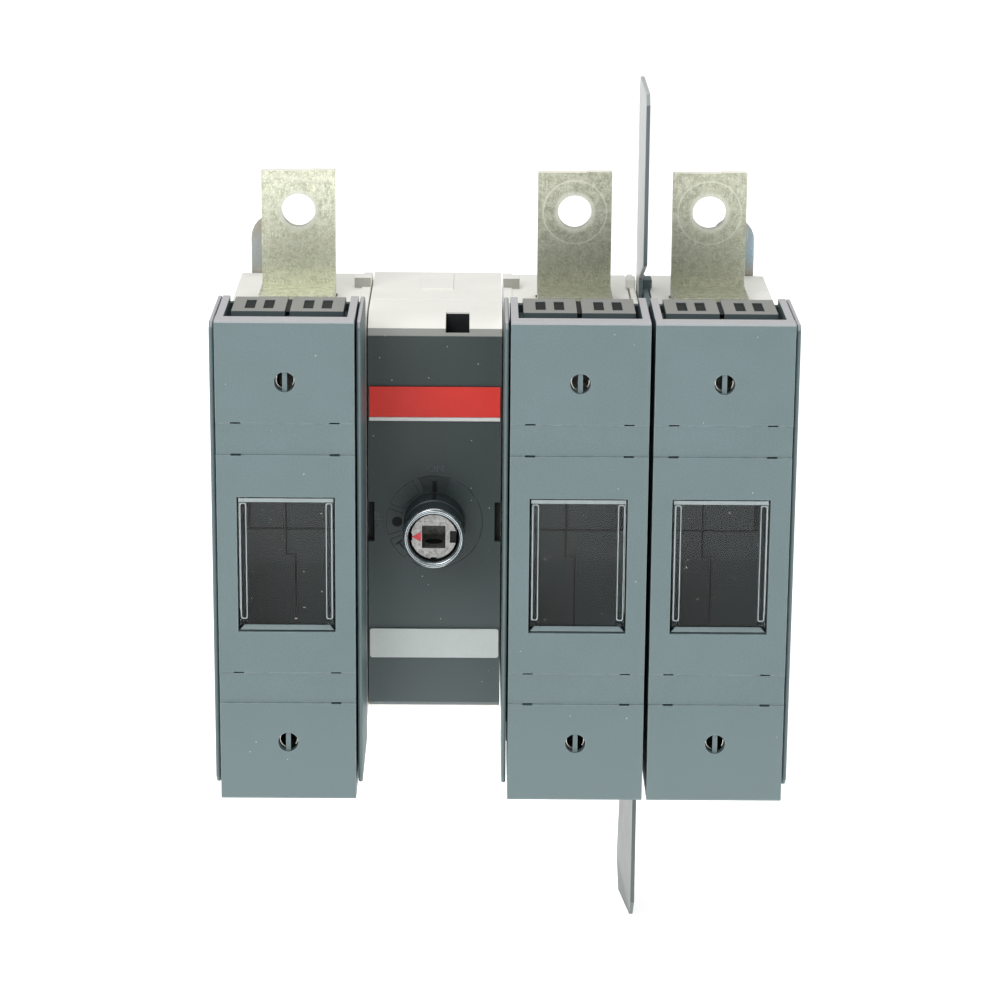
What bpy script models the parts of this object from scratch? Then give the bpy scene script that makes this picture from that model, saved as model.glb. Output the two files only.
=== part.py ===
"""Three-pole fused disconnect switch: fuse covers in front, rotary contacts behind, shaft drive between.

Frame: +X to the right, +Y into the mounting panel, +Z up. The origin lies on the mounting plane, on
the axis of the operating shaft. Lengths below are millimetres; "depth" is measured forward from the
mounting plane, so a depth d lies at y = -d.
"""

import math

import bmesh
import bpy

MM = 0.001
OVERSHOOT = 1.0  # how far a cutter, or a block that is joined on, runs past the face it meets
BITE = 0.3  # the same where there is little room

# Modules along X: pole, mechanism, pole, pole.
POLE_PITCH = 36.0
MECHANISM_PITCH = 37.8
SEAM = 0.35  # gap between fixed pieces that meet
RUN = 0.1  # radial clearance of a turning fit

# Fuse covers.
COVER_DEPTH = 100.0
COVER_SIDE_GAP = 0.59
COVER_HALF_HEIGHT = 63.15
COVER_PLATE = 2.4
COVER_SKIRT = 1.9
COVER_DECK_GAP = 4.5
COVER_EDGE = 0.5
SKIRT_SETBACK = 0.2
LIP_DEPTH = 5.4
LIP_THICKNESS = 2.2
PROBE_RADIUS = 2.6
PROBE_INSET = 15.55
PROBE_BAR = 1.2
PROBE_BAR_RECESS = 0.8
STEP_INSET = 10.6  # from a probe hole's axis to the near edge of the step
STEP_HEIGHT = 8.25
STEP_RECESS = 0.4
WINDOW_HALF_WIDTH = 12.4
WINDOW_HALF_HEIGHT = 17.8
PANE_THICKNESS = 1.2
PANE_RECESS = 0.7
PANE_RIB_WIDTH = 2.1
PANE_RIB_DEPTH = 2.8

# Cover hinge: pegs on the housing in holes through the cover's skirts.
HINGE_INSET = 7.65  # from the cover's lower end
HINGE_STANDOFF = 6.0  # in front of the skirt's back edge
HINGE_PEG_RADIUS = 1.5

# Pole bases, decks and fuse compartments.
BASE_INSET = 8.15  # the base's ends stand inside the cover's
BASE_SIDE_GAP = 0.5
BASE_FRONT = 62.0
BASE_END_WALL = 2.6
BASE_BACK_WALL = 3.6
BASE_SIDE_WALL = 2.15
DECK_THICKNESS = 2.15
DECK_INSET = 3.15
COMPARTMENT_WALL = 2.0
COMPARTMENT_SETBACK = 6.5
COMPARTMENT_INSET = 5.15
SKIRT_CLEARANCE = 0.4

# Side plates on the free sides of the poles, flanges on the bases behind them beside the mechanism,
# and guide plates beside the barrier.
PLATE_THICKNESS = 1.1
PLATE_SETBACK = 3.0
PLATE_TOP_INSET = 0.85
PLATE_BOTTOM_INSET = 2.85
PLATE_SHOULDER_STANDOFF = 4.0
PLATE_CHAMFER = 2.0
GUIDE_THICKNESS = 1.7
CATCH_LENGTH = 3.4
CATCH_DEPTH = 17.0
CATCH_WIDTH = 5.0
CATCH_HEIGHT = 2.6

# Arc vents at both ends of each compartment.
VENT_SIDE_GAP = 1.31
VENT_BLOCK_GAP = 1.2
VENT_BLOCK_RISE = 2.1
VENT_RISE = 4.5
VENT_SETBACK = 14.7
VENT_STANDOFF = 3.8
VENT_SLOT_WIDTH = 2.5
VENT_SLOT_SPACING = 4.7
VENT_SLOT_END = 3.4

# Terminals and fuse jaws.
TERMINAL_WIDTH = 19.7
TERMINAL_THICKNESS = 3.0
TERMINAL_FACE = 32.0
TERMINAL_REACH = 34.1
TERMINAL_HOLE_RADIUS = 4.5
TERMINAL_HOLE_INSET = 10.9
TERMINAL_CORNER = 0.3
FOOT_LENGTH = 16.0
JAW_WIDTH = 14.0
JAW_STEM_THICKNESS = 3.0
JAW_PLATE = 2.2
JAW_PLATE_LENGTH = 24.0
JAW_PLATE_MARGIN = 1.0
JAW_PLATE_CLEARANCE = 2.0
JAW_ARM_INSET = 8.0
JAW_GAP = 5.2
JAW_LEAF = 1.4
JAW_LEAF_MARGIN = 1.5
JAW_REACH = 20.0
JAW_MOUTH = 6.0
JAW_FLARE = 1.1

# Contact rotors on the cross shaft.
ROTOR_DEPTH = 38.0
ROTOR_RADIUS = 11.5
ROTOR_SIDE_GAP = 0.9
CONTACT_THICKNESS = 2.0
CONTACT_HALF_WIDTH = 8.0
CONTACT_HALF_ANGLE = math.radians(36)
CONTACT_STANCE = 6.0  # terminal legs and jaw stems stand this far behind and before the rotor axis
CROSS_SHAFT_RADIUS = 4.0
SHAFT_END_WALL = 2.0

# Operating mechanism.
MECHANISM_SIDE_GAP = 1.3
PANEL_DEPTH = 60.0
PANEL_THICKNESS = 2.05
PANEL_INSET = 1.5
PANEL_CHAMFER = 1.6
MECHANISM_WALL = 2.4
CASE_SLOPE = 3.0
CASE_SLOPE_RUN = 7.0
AUXILIARY_SLOT = (2.8, 9.0)
AUXILIARY_SLOT_BACK = 50.5
SIDE_SLOT_WIDTH = 1.6
SIDE_SLOT_HALF_HEIGHT = 5.4
STRIP_THICKNESS = 0.4
STRIP_SIDE_GAP = 0.4
RED_STRIP_HEIGHT = 8.2
MARKING_STRIP_OFFSET = 0.85  # below the step in the covers beside it
MARKING_STRIP_HEIGHT = 8.1

# Operating shaft.
SHAFT_RADIUS = 6.0
SHAFT_REACH = 14.0
SOCKET_SIDE = 6.1
SOCKET_DEPTH = 13.0
COLLAR_GAP = 0.6
COLLAR_WALL = 1.5
COLLAR_RIM = 0.3
RING_LENGTH = 1.3
RING_EDGE = 0.455
FLANGE_WIDTH = 2.8
FLANGE_THICKNESS = 1.5
STUB_RADIUS = 3.5

# Mitre gears between the operating shaft and the cross shaft.
GEAR_TEETH = 12
GEAR_RIM = 5.0
GEAR_ADDENDUM = 0.7
GEAR_DEDENDUM = 0.95
GEAR_FACE = 3.5
TOOTH_ROOT_ANGLE = math.radians(12.5)
TOOTH_TIP_ANGLE = math.radians(7.0)

# Spring round the operating shaft, between its gear and its flange.
SPRING_CLEARANCE = 1.3
SPRING_WIRE = 0.6
SPRING_TURNS = 3
SPRING_GEAR_GAP = 1.6
SPRING_FLANGE_GAP = 2.05

# Mounting rails behind the end poles.
RAIL_THICKNESS = 2.0
RAIL_WIDTH = 12.0
RAIL_OFFSET = 8.8
RAIL_REACH = 16.0
RAIL_HOLE_RADIUS = 3.25
RAIL_HOLE_INSET = 7.0

# Phase barriers between the second and third pole.
BARRIER_THICKNESS = 1.1
BARRIER_FRONT = 53.0
BARRIER_BACK = 17.0
BARRIER_ROOT = 25.0  # how far each sheet reaches in between the poles
BARRIER_REACH_TOP = 58.0
BARRIER_REACH_BOTTOM = 62.5
BARRIER_CORNER = 3.0
BARRIER_ROOT_FRONT = 30.0  # each sheet is cut back to this depth between the poles
BARRIER_SHOULDER = 2.0  # height above the base's catches at which the cut begins to slope forward
BARRIER_SLOPE = 8.0
BARRIER_LEAN = 2.4  # the free rear edge of the lower barrier stands this far aside

# Worked out from the sizes above: places along X.
POLE_X = (
    -(MECHANISM_PITCH + POLE_PITCH) / 2,
    (MECHANISM_PITCH + POLE_PITCH) / 2,
    MECHANISM_PITCH / 2 + POLE_PITCH * 1.5,
)
BARRIER_X = MECHANISM_PITCH / 2 + POLE_PITCH
COVER_HALF_WIDTH = POLE_PITCH / 2 - COVER_SIDE_GAP
SKIRT_INNER = COVER_HALF_WIDTH - COVER_SKIRT
BASE_HALF_WIDTH = POLE_PITCH / 2 - BASE_SIDE_GAP
COMPARTMENT_HALF_WIDTH = SKIRT_INNER - SKIRT_CLEARANCE
PLATE_INNER = BASE_HALF_WIDTH + SEAM
GUIDE_OUTER = POLE_PITCH / 2 - BARRIER_THICKNESS / 2 - SEAM
GUIDE_INNER = GUIDE_OUTER - GUIDE_THICKNESS
CHAMBER_HALF_WIDTH = GUIDE_INNER - SEAM - BASE_SIDE_WALL
ROTOR_HALF_WIDTH = CHAMBER_HALF_WIDTH - ROTOR_SIDE_GAP
VENT_BLOCK_WIDTH = SKIRT_INNER - VENT_SIDE_GAP - VENT_BLOCK_GAP / 2
SHAFT_END = BASE_HALF_WIDTH - SHAFT_END_WALL
SHAFT_RUN = (POLE_X[0] - SHAFT_END, POLE_X[2] + SHAFT_END)
MECHANISM_HALF_WIDTH = MECHANISM_PITCH / 2 - MECHANISM_SIDE_GAP
STRIP_HALF_WIDTH = MECHANISM_HALF_WIDTH - STRIP_SIDE_GAP

# Depths, from the mounting plane forward.
BASE_BACK = RAIL_THICKNESS + SEAM
DECK_BACK = BASE_FRONT + SEAM
DECK_FRONT = DECK_BACK + DECK_THICKNESS
SKIRT_BACK = DECK_FRONT + COVER_DECK_GAP
HINGE_DEPTH = SKIRT_BACK + HINGE_STANDOFF
COMPARTMENT_FRONT = COVER_DEPTH - COMPARTMENT_SETBACK
PLATE_DEPTH = COVER_DEPTH - PLATE_SETBACK
PLATE_SHOULDER = BASE_FRONT + PLATE_SHOULDER_STANDOFF
VENT_FRONT = COVER_DEPTH - VENT_SETBACK
VENT_BACK = DECK_FRONT + VENT_STANDOFF
JAW_STEM_BACK = ROTOR_DEPTH + CONTACT_STANCE
CASE_FRONT = PANEL_DEPTH - PANEL_THICKNESS - SEAM
SHAFT_TIP = PANEL_DEPTH + SHAFT_REACH
COLLAR_TIP = SHAFT_TIP + COLLAR_RIM
GEAR_PITCH_RADIUS = CROSS_SHAFT_RADIUS + GEAR_RIM
GEAR_FRONT = ROTOR_DEPTH + GEAR_PITCH_RADIUS
FLANGE_BACK = CASE_FRONT - SEAM - FLANGE_THICKNESS

# Heights, each the same above and below the shaft's axis.
BASE_HALF_HEIGHT = COVER_HALF_HEIGHT - BASE_INSET
DECK_HALF_HEIGHT = COVER_HALF_HEIGHT - DECK_INSET
COMPARTMENT_HALF_HEIGHT = COVER_HALF_HEIGHT - COMPARTMENT_INSET
PLATE_TOP = COVER_HALF_HEIGHT - PLATE_TOP_INSET
PLATE_BOTTOM = COVER_HALF_HEIGHT - PLATE_BOTTOM_INSET
VENT_HEIGHT = COMPARTMENT_HALF_HEIGHT + VENT_RISE
HINGE_HEIGHT = HINGE_INSET - COVER_HALF_HEIGHT
PROBE_HEIGHT = COVER_HALF_HEIGHT - PROBE_INSET
STEP_OUTER = PROBE_HEIGHT - STEP_INSET
STEP_INNER = STEP_OUTER - STEP_HEIGHT
FOOT_BOTTOM = BASE_HALF_HEIGHT + SEAM
TERMINAL_HALF_SPAN = BASE_HALF_HEIGHT + TERMINAL_REACH
TERMINAL_HOLE_HEIGHT = TERMINAL_HALF_SPAN - TERMINAL_HOLE_INSET
JAW_PLATE_TOP = COMPARTMENT_HALF_HEIGHT - COMPARTMENT_WALL - JAW_PLATE_CLEARANCE
JAW_PLATE_BOTTOM = JAW_PLATE_TOP - JAW_PLATE_LENGTH
JAW_ARM_TOP = JAW_PLATE_BOTTOM + JAW_ARM_INSET
PANEL_HALF_HEIGHT = BASE_HALF_HEIGHT - CASE_SLOPE - PANEL_INSET
RED_STRIP = (STEP_OUTER - RED_STRIP_HEIGHT, STEP_OUTER)
MARKING_STRIP_TOP = -STEP_INNER - MARKING_STRIP_OFFSET
MARKING_STRIP = (MARKING_STRIP_TOP - MARKING_STRIP_HEIGHT, MARKING_STRIP_TOP)
RAIL_HALF_LENGTH = BASE_HALF_HEIGHT + RAIL_REACH
RAIL_HOLE_HEIGHT = RAIL_HALF_LENGTH - RAIL_HOLE_INSET
BARRIER_ROOT_HEIGHT = BASE_HALF_HEIGHT - BARRIER_ROOT
BARRIER_SHOULDER_HEIGHT = FOOT_BOTTOM + CATCH_HEIGHT + BARRIER_SHOULDER
BARRIER_TOP = BASE_HALF_HEIGHT + BARRIER_REACH_TOP
BARRIER_BOTTOM = BASE_HALF_HEIGHT + BARRIER_REACH_BOTTOM

# Round sizes that meet on the operating shaft, and the contacts' reach round the rotor.
COLLAR_BORE = SHAFT_RADIUS + COLLAR_GAP
COLLAR_RADIUS = COLLAR_BORE + COLLAR_WALL
FLANGE_RADIUS = SHAFT_RADIUS + FLANGE_WIDTH
SPRING_RADIUS = SHAFT_RADIUS + SPRING_CLEARANCE + SPRING_WIRE
CONTACT_OUTER = ROTOR_RADIUS + SEAM + CONTACT_THICKNESS
CONTACT_END = math.sqrt((CONTACT_OUTER + SEAM) ** 2 - CONTACT_STANCE**2)


def clear_scene():
    for old in list(bpy.data.objects):
        bpy.data.objects.remove(old)


def material(name, colour, roughness, metallic=0.0, alpha=1.0):
    made = bpy.data.materials.new(name)
    made.use_nodes = True
    made.diffuse_color = (*colour, alpha)
    shader = made.node_tree.nodes["Principled BSDF"]
    shader.inputs["Base Color"].default_value = (*colour, 1.0)
    shader.inputs["Roughness"].default_value = roughness
    shader.inputs["Metallic"].default_value = metallic
    shader.inputs["Alpha"].default_value = alpha
    return made


def linked(name, bm):
    """A new object of this bmesh, which is in millimetres, with its faces turned outwards."""
    bmesh.ops.recalc_face_normals(bm, faces=bm.faces)
    bmesh.ops.scale(bm, vec=(MM, MM, MM), verts=bm.verts)
    mesh = bpy.data.meshes.new(name)
    bm.to_mesh(mesh)
    bm.free()
    made = bpy.data.objects.new(name, mesh)
    bpy.context.scene.collection.objects.link(made)
    return made


def box(x, y, z):
    """A block between two values on each axis."""
    bm = bmesh.new()
    bmesh.ops.create_cube(bm, size=1.0)
    for vert in bm.verts:
        vert.co = [span[0] if part < 0 else span[1] for part, span in zip(vert.co, (x, y, z))]
    return linked("block", bm)


def on_axis(axis, along, first, second):
    """A point from its place along an axis and its other two coordinates, in X, Y, Z order."""
    point = [first, second]
    point.insert("XYZ".index(axis), along)
    return point


def prism(axis, span, outline):
    """An outline of (first, second) points, carried along the axis from span[0] to span[1]."""
    bm = bmesh.new()
    ends = [[bm.verts.new(on_axis(axis, at, *point)) for point in outline] for at in span]
    bm.faces.new(ends[0])
    bm.faces.new(reversed(ends[1]))
    for here in range(len(outline)):
        there = (here + 1) % len(outline)
        bm.faces.new((ends[0][here], ends[0][there], ends[1][there], ends[1][here]))
    return linked("prism", bm)


def arc(radius, start, end, steps, centre=(0.0, 0.0)):
    """Points round a centre, both ends included."""
    angles = [start + (end - start) * step / steps for step in range(steps + 1)]
    return [(centre[0] + radius * math.cos(a), centre[1] + radius * math.sin(a)) for a in angles]


def circle(radius, sides, centre=(0.0, 0.0)):
    return arc(radius, 0.0, 2 * math.pi, sides, centre)[:-1]


def bar(axis, span, radius, centre=(0.0, 0.0), sides=24):
    return prism(axis, span, circle(radius, sides, centre))


def baked(start, add=(), cut=()):
    """The mesh of a shape after others are joined to it and cut from it. The helpers are removed."""
    for helpers, operation in ((add, "UNION"), (cut, "DIFFERENCE")):
        for helper in helpers:
            helper.hide_render = True
            helper.display_type = "WIRE"
            step = start.modifiers.new(operation.lower(), "BOOLEAN")
            step.operation = operation
            step.object = helper
            step.solver = "EXACT"
    graph = bpy.context.evaluated_depsgraph_get()
    mesh = bpy.data.meshes.new_from_object(start.evaluated_get(graph))
    for used in (start, *add, *cut):
        bpy.data.objects.remove(used)
    return mesh


def place(name, mesh, finish, x=0.0, parent=None):
    """A named piece. A parent is an empty on the piece's joint axis, and the piece keeps its place."""
    mesh.materials.clear()
    mesh.materials.append(finish)
    mesh.shade_smooth()
    mesh.set_sharp_from_angle(angle=math.radians(35))
    made = bpy.data.objects.new(name, mesh)
    bpy.context.scene.collection.objects.link(made)
    made.location = (x * MM, 0.0, 0.0)
    if parent:
        made.parent = parent
        made.location = made.location - parent.location
    return made


def pivot(name, x, y, z):
    """An empty on a joint's axis."""
    made = bpy.data.objects.new(name, None)
    made.empty_display_size = 10 * MM
    made.location = (x * MM, y * MM, z * MM)
    bpy.context.scene.collection.objects.link(made)
    return made


def mirrored(mesh):
    """A copy for the lower end, mirrored in Z."""
    bm = bmesh.new()
    bm.from_mesh(mesh)
    bmesh.ops.scale(bm, vec=(1, 1, -1), verts=bm.verts)
    bmesh.ops.reverse_faces(bm, faces=bm.faces)
    copy = bpy.data.meshes.new(mesh.name + "_lower")
    bm.to_mesh(copy)
    bm.free()
    return copy


def both_sides(lo, hi):
    """A span and its reflection about zero."""
    return (lo, hi), (-hi, -lo)


def shaft_bore(from_x):
    """The running bore of the cross shaft, seen from a pole or case centred on from_x."""
    span = (SHAFT_RUN[0] - SEAM - from_x, SHAFT_RUN[1] + SEAM - from_x)
    return bar("X", span, CROSS_SHAFT_RADIUS + RUN, (-ROTOR_DEPTH, 0.0))


def terminal_slots():
    """Slots in both end walls of a base, which the terminals stand through."""
    half = TERMINAL_WIDTH / 2 + SEAM
    y = (-TERMINAL_FACE - SEAM, -TERMINAL_FACE + TERMINAL_THICKNESS + SEAM)
    inside = BASE_HALF_HEIGHT - BASE_END_WALL - OVERSHOOT
    return [box((-half, half), y, z) for z in both_sides(inside, BASE_HALF_HEIGHT + OVERSHOOT)]


def base_flange(side):
    """A flange along a base's side, a little higher than its end walls, with a catch at each end."""
    outer = PLATE_INNER + PLATE_THICKNESS
    span = sorted((side * (BASE_HALF_WIDTH - OVERSHOOT), side * outer))
    flange = box(span, (-BASE_FRONT, -BASE_BACK), (-FOOT_BOTTOM, FOOT_BOTTOM))
    return [flange, *catches(side, span, BASE_HALF_HEIGHT - OVERSHOOT)]


def pole_base(from_x, guided_side, flanged_side):
    """A tray, open to the front. On a guided side its wall stands in by a guide plate's thickness."""
    left, right = -BASE_HALF_WIDTH, BASE_HALF_WIDTH
    if guided_side > 0:
        right = GUIDE_INNER - SEAM
    if guided_side < 0:
        left = -GUIDE_INNER + SEAM
    block = box((left, right), (-BASE_FRONT, -BASE_BACK), (-BASE_HALF_HEIGHT, BASE_HALF_HEIGHT))
    inside = BASE_HALF_HEIGHT - BASE_END_WALL
    chamber = box(
        (-CHAMBER_HALF_WIDTH, CHAMBER_HALF_WIDTH),
        (-BASE_FRONT - OVERSHOOT, -BASE_BACK - BASE_BACK_WALL),
        (-inside, inside),
    )
    flange = base_flange(flanged_side) if flanged_side else []
    return baked(block, add=flange, cut=[chamber, shaft_bore(from_x), *terminal_slots()])


def pole_housing():
    """A deck over the base, with the fuse compartment's walls and the cover's hinge pegs."""
    deck = box(
        (-BASE_HALF_WIDTH, BASE_HALF_WIDTH),
        (-DECK_FRONT, -DECK_BACK),
        (-DECK_HALF_HEIGHT, DECK_HALF_HEIGHT),
    )
    walls = box(
        (-COMPARTMENT_HALF_WIDTH, COMPARTMENT_HALF_WIDTH),
        (-COMPARTMENT_FRONT, -DECK_FRONT + OVERSHOOT),
        (-COMPARTMENT_HALF_HEIGHT, COMPARTMENT_HALF_HEIGHT),
    )
    inner_x = COMPARTMENT_HALF_WIDTH - COMPARTMENT_WALL
    inner_z = COMPARTMENT_HALF_HEIGHT - COMPARTMENT_WALL
    hollow_y = (-COMPARTMENT_FRONT - OVERSHOOT, -DECK_FRONT)
    hollow = box((-inner_x, inner_x), hollow_y, (-inner_z, inner_z))
    peg_span = both_sides(COMPARTMENT_HALF_WIDTH - OVERSHOOT, COVER_HALF_WIDTH - SKIRT_SETBACK)
    pegs = [
        bar("X", span, HINGE_PEG_RADIUS, (-HINGE_DEPTH, HINGE_HEIGHT), 20) for span in peg_span
    ]
    half = JAW_WIDTH / 2 + SEAM
    arm = (JAW_ARM_TOP - JAW_STEM_THICKNESS - SEAM, JAW_ARM_TOP + SEAM)
    through = (-DECK_FRONT - OVERSHOOT, -DECK_BACK + OVERSHOOT)
    slots = [box((-half, half), through, z) for z in both_sides(*arm)]
    return baked(deck, add=[walls, *pegs], cut=[hollow, *slots])


def fuse_cover():
    """A front plate with a lip at each end, a recessed step near each end, and two side skirts."""
    top, lip = COVER_HALF_HEIGHT, COVER_HALF_HEIGHT - LIP_THICKNESS
    front, low = -COVER_DEPTH, -COVER_DEPTH + STEP_RECESS
    back = -COVER_DEPTH + COVER_PLATE
    lip_back = -COVER_DEPTH + LIP_DEPTH
    upper = [
        (front, STEP_INNER),
        (low, STEP_INNER + STEP_RECESS / 2),
        (low, STEP_OUTER - STEP_RECESS / 2),
        (front, STEP_OUTER),
        (front, top - COVER_EDGE),
        (front + COVER_EDGE, top),
        (lip_back, top),
        (lip_back, lip),
        (back, lip),
    ]
    lower = [(y, -z) for y, z in reversed(upper)]
    plate = prism("X", (-COVER_HALF_WIDTH, COVER_HALF_WIDTH), upper + lower)
    skirt_z = (SKIRT_SETBACK - top, top - SKIRT_SETBACK)
    skirts = [
        box(x, (back - OVERSHOOT, -SKIRT_BACK), skirt_z)
        for x in both_sides(SKIRT_INNER, COVER_HALF_WIDTH)
    ]
    through = (front - OVERSHOOT, back + OVERSHOOT)
    cuts = [
        bar("Y", through, PROBE_RADIUS, (0.0, z), 20) for z in (PROBE_HEIGHT, -PROBE_HEIGHT)
    ]
    window = box(
        (-WINDOW_HALF_WIDTH, WINDOW_HALF_WIDTH), through, (-WINDOW_HALF_HEIGHT, WINDOW_HALF_HEIGHT)
    )
    hinge = (-COVER_HALF_WIDTH - OVERSHOOT, COVER_HALF_WIDTH + OVERSHOOT)
    pin_hole = bar("X", hinge, HINGE_PEG_RADIUS + RUN, (-HINGE_DEPTH, HINGE_HEIGHT), 20)
    holed = baked(plate, add=skirts, cut=[*cuts, window, pin_hole])
    shell = bpy.data.objects.new("shell", holed)
    bpy.context.scene.collection.objects.link(shell)
    reach = PROBE_RADIUS + BITE
    bar_x = (-PROBE_BAR / 2, PROBE_BAR / 2)
    bar_y = (front + PROBE_BAR_RECESS, back - BITE)
    bars = [box(bar_x, bar_y, (z - reach, z + reach)) for z in (PROBE_HEIGHT, -PROBE_HEIGHT)]
    return baked(shell, add=bars)


def cover_window():
    """A clear pane with a rib behind each side edge."""
    half_x, half_z = WINDOW_HALF_WIDTH - SEAM, WINDOW_HALF_HEIGHT - SEAM
    front = -COVER_DEPTH + PANE_RECESS
    back = front + PANE_THICKNESS
    pane = box((-half_x, half_x), (front, back), (-half_z, half_z))
    ribs = [
        box(x, (back - BITE, back + PANE_RIB_DEPTH), (-half_z, half_z))
        for x in both_sides(half_x - PANE_RIB_WIDTH, half_x)
    ]
    return baked(pane, add=ribs)


def terminal():
    """A plated bar: the bolted lug above the case, a foot on its end, and the contact leg inside."""
    half, cut = TERMINAL_WIDTH / 2, TERMINAL_CORNER
    back = -TERMINAL_FACE + TERMINAL_THICKNESS
    outline = [
        (-half, CONTACT_END),
        (half, CONTACT_END),
        (half, TERMINAL_HALF_SPAN - cut),
        (half - cut, TERMINAL_HALF_SPAN),
        (-half + cut, TERMINAL_HALF_SPAN),
        (-half, TERMINAL_HALF_SPAN - cut),
    ]
    lug = prism("Y", (-TERMINAL_FACE, back), outline)
    foot = box(
        (-half, half),
        (-TERMINAL_FACE - FOOT_LENGTH, -TERMINAL_FACE + OVERSHOOT),
        (FOOT_BOTTOM, FOOT_BOTTOM + TERMINAL_THICKNESS),
    )
    through = (-TERMINAL_FACE - OVERSHOOT, back + OVERSHOOT)
    hole = bar("Y", through, TERMINAL_HOLE_RADIUS, (0.0, TERMINAL_HOLE_HEIGHT), 32)
    return baked(lug, add=[foot], cut=[hole])


def fuse_jaw():
    """A stem beside the rotor, an arm through the deck, and two spring leaves that grip a fuse blade."""
    half = JAW_WIDTH / 2
    stem_y = (-JAW_STEM_BACK - JAW_STEM_THICKNESS, -JAW_STEM_BACK)
    stem = box((-half, half), stem_y, (CONTACT_END, JAW_ARM_TOP))
    plate_back = -DECK_FRONT - SEAM
    arm_y = (plate_back - OVERSHOOT, -JAW_STEM_BACK - OVERSHOOT)
    arm = box((-half, half), arm_y, (JAW_ARM_TOP - JAW_STEM_THICKNESS, JAW_ARM_TOP))
    plate_front = plate_back - JAW_PLATE
    plate_x = (-half - JAW_PLATE_MARGIN, half + JAW_PLATE_MARGIN)
    plate = box(plate_x, (plate_front, plate_back), (JAW_PLATE_BOTTOM, JAW_PLATE_TOP))
    root, tip = plate_front + BITE, plate_back - JAW_REACH
    mouth = tip + JAW_MOUTH
    inner, outer = JAW_GAP / 2, JAW_GAP / 2 + JAW_LEAF
    leaf = [
        (inner, root),
        (inner, mouth),
        (inner + JAW_FLARE, tip),
        (outer + JAW_FLARE, tip),
        (outer, mouth),
        (outer, root),
    ]
    height = (JAW_PLATE_BOTTOM + JAW_LEAF_MARGIN, JAW_PLATE_TOP - JAW_LEAF_MARGIN)
    leaves = [prism("Z", height, [(side * x, y) for x, y in leaf]) for side in (1, -1)]
    return baked(stem, add=[arm, plate, *leaves])


def arc_vent():
    """A plate on the compartment's end wall, with two slotted blocks on it."""
    low = COMPARTMENT_HALF_HEIGHT + SEAM
    block_low = VENT_HEIGHT - VENT_BLOCK_RISE
    half = VENT_BLOCK_GAP / 2 + VENT_BLOCK_WIDTH
    plate_y = (-VENT_FRONT + BITE, -VENT_BACK - BITE)
    plate = box((-half + BITE, half - BITE), plate_y, (low, block_low + BITE))
    blocks = [
        box(x, (-VENT_FRONT, -VENT_BACK), (block_low, VENT_HEIGHT))
        for x in both_sides(VENT_BLOCK_GAP / 2, half)
    ]
    middle = VENT_BLOCK_GAP / 2 + VENT_BLOCK_WIDTH / 2
    long = (-VENT_FRONT + VENT_SLOT_END, -VENT_BACK - VENT_SLOT_END)
    slots = []
    for side in (-1, 1):
        for offset in (-VENT_SLOT_SPACING / 2, VENT_SLOT_SPACING / 2):
            x = side * middle + offset
            wide = (x - VENT_SLOT_WIDTH / 2, x + VENT_SLOT_WIDTH / 2)
            slots.append(box(wide, long, (low - OVERSHOOT, VENT_HEIGHT + OVERSHOOT)))
    return baked(plate, add=blocks, cut=slots)


def rotor():
    drum = bar("X", (-ROTOR_HALF_WIDTH, ROTOR_HALF_WIDTH), ROTOR_RADIUS, (-ROTOR_DEPTH, 0.0), 32)
    through = (-ROTOR_HALF_WIDTH - OVERSHOOT, ROTOR_HALF_WIDTH + OVERSHOOT)
    bore = bar("X", through, CROSS_SHAFT_RADIUS + SEAM, (-ROTOR_DEPTH, 0.0))
    return baked(drum, cut=[bore])


def rotor_contact(direction):
    """A curved contact on the rotor, centred on the angle given, measured from +Y towards +Z."""
    centre = (-ROTOR_DEPTH, 0.0)
    start, end = direction - CONTACT_HALF_ANGLE, direction + CONTACT_HALF_ANGLE
    outline = arc(CONTACT_OUTER, start, end, 6, centre)
    outline += arc(CONTACT_OUTER - CONTACT_THICKNESS, end, start, 6, centre)
    return baked(prism("X", (-CONTACT_HALF_WIDTH, CONTACT_HALF_WIDTH), outline))


def side_plate(side):
    """A plate on a free side of a pole, from the deck forward."""
    outline = [
        (-PLATE_DEPTH, -PLATE_BOTTOM + PLATE_CHAMFER),
        (-PLATE_DEPTH + PLATE_CHAMFER, -PLATE_BOTTOM),
        (-PLATE_SHOULDER, -PLATE_BOTTOM),
        (-DECK_BACK, -DECK_HALF_HEIGHT),
        (-DECK_BACK, DECK_HALF_HEIGHT),
        (-PLATE_SHOULDER, PLATE_TOP),
        (-PLATE_DEPTH + PLATE_CHAMFER, PLATE_TOP),
        (-PLATE_DEPTH, PLATE_TOP - PLATE_CHAMFER),
    ]
    span = sorted((side * PLATE_INNER, side * (PLATE_INNER + PLATE_THICKNESS)))
    return baked(prism("X", span, outline))


def catches(side, plate_span, low):
    """Blocks that reach from a plate or flange over both end walls of the base."""
    reach = sorted((side * (PLATE_INNER - CATCH_LENGTH), sum(plate_span) / 2))
    y = (-CATCH_DEPTH - CATCH_WIDTH, -CATCH_DEPTH)
    high = FOOT_BOTTOM + CATCH_HEIGHT
    over = [box(reach, y, z) for z in both_sides(low, high)]
    roots = [box(plate_span, y, z) for z in both_sides(FOOT_BOTTOM - OVERSHOOT, high)]
    return over + roots


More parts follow.
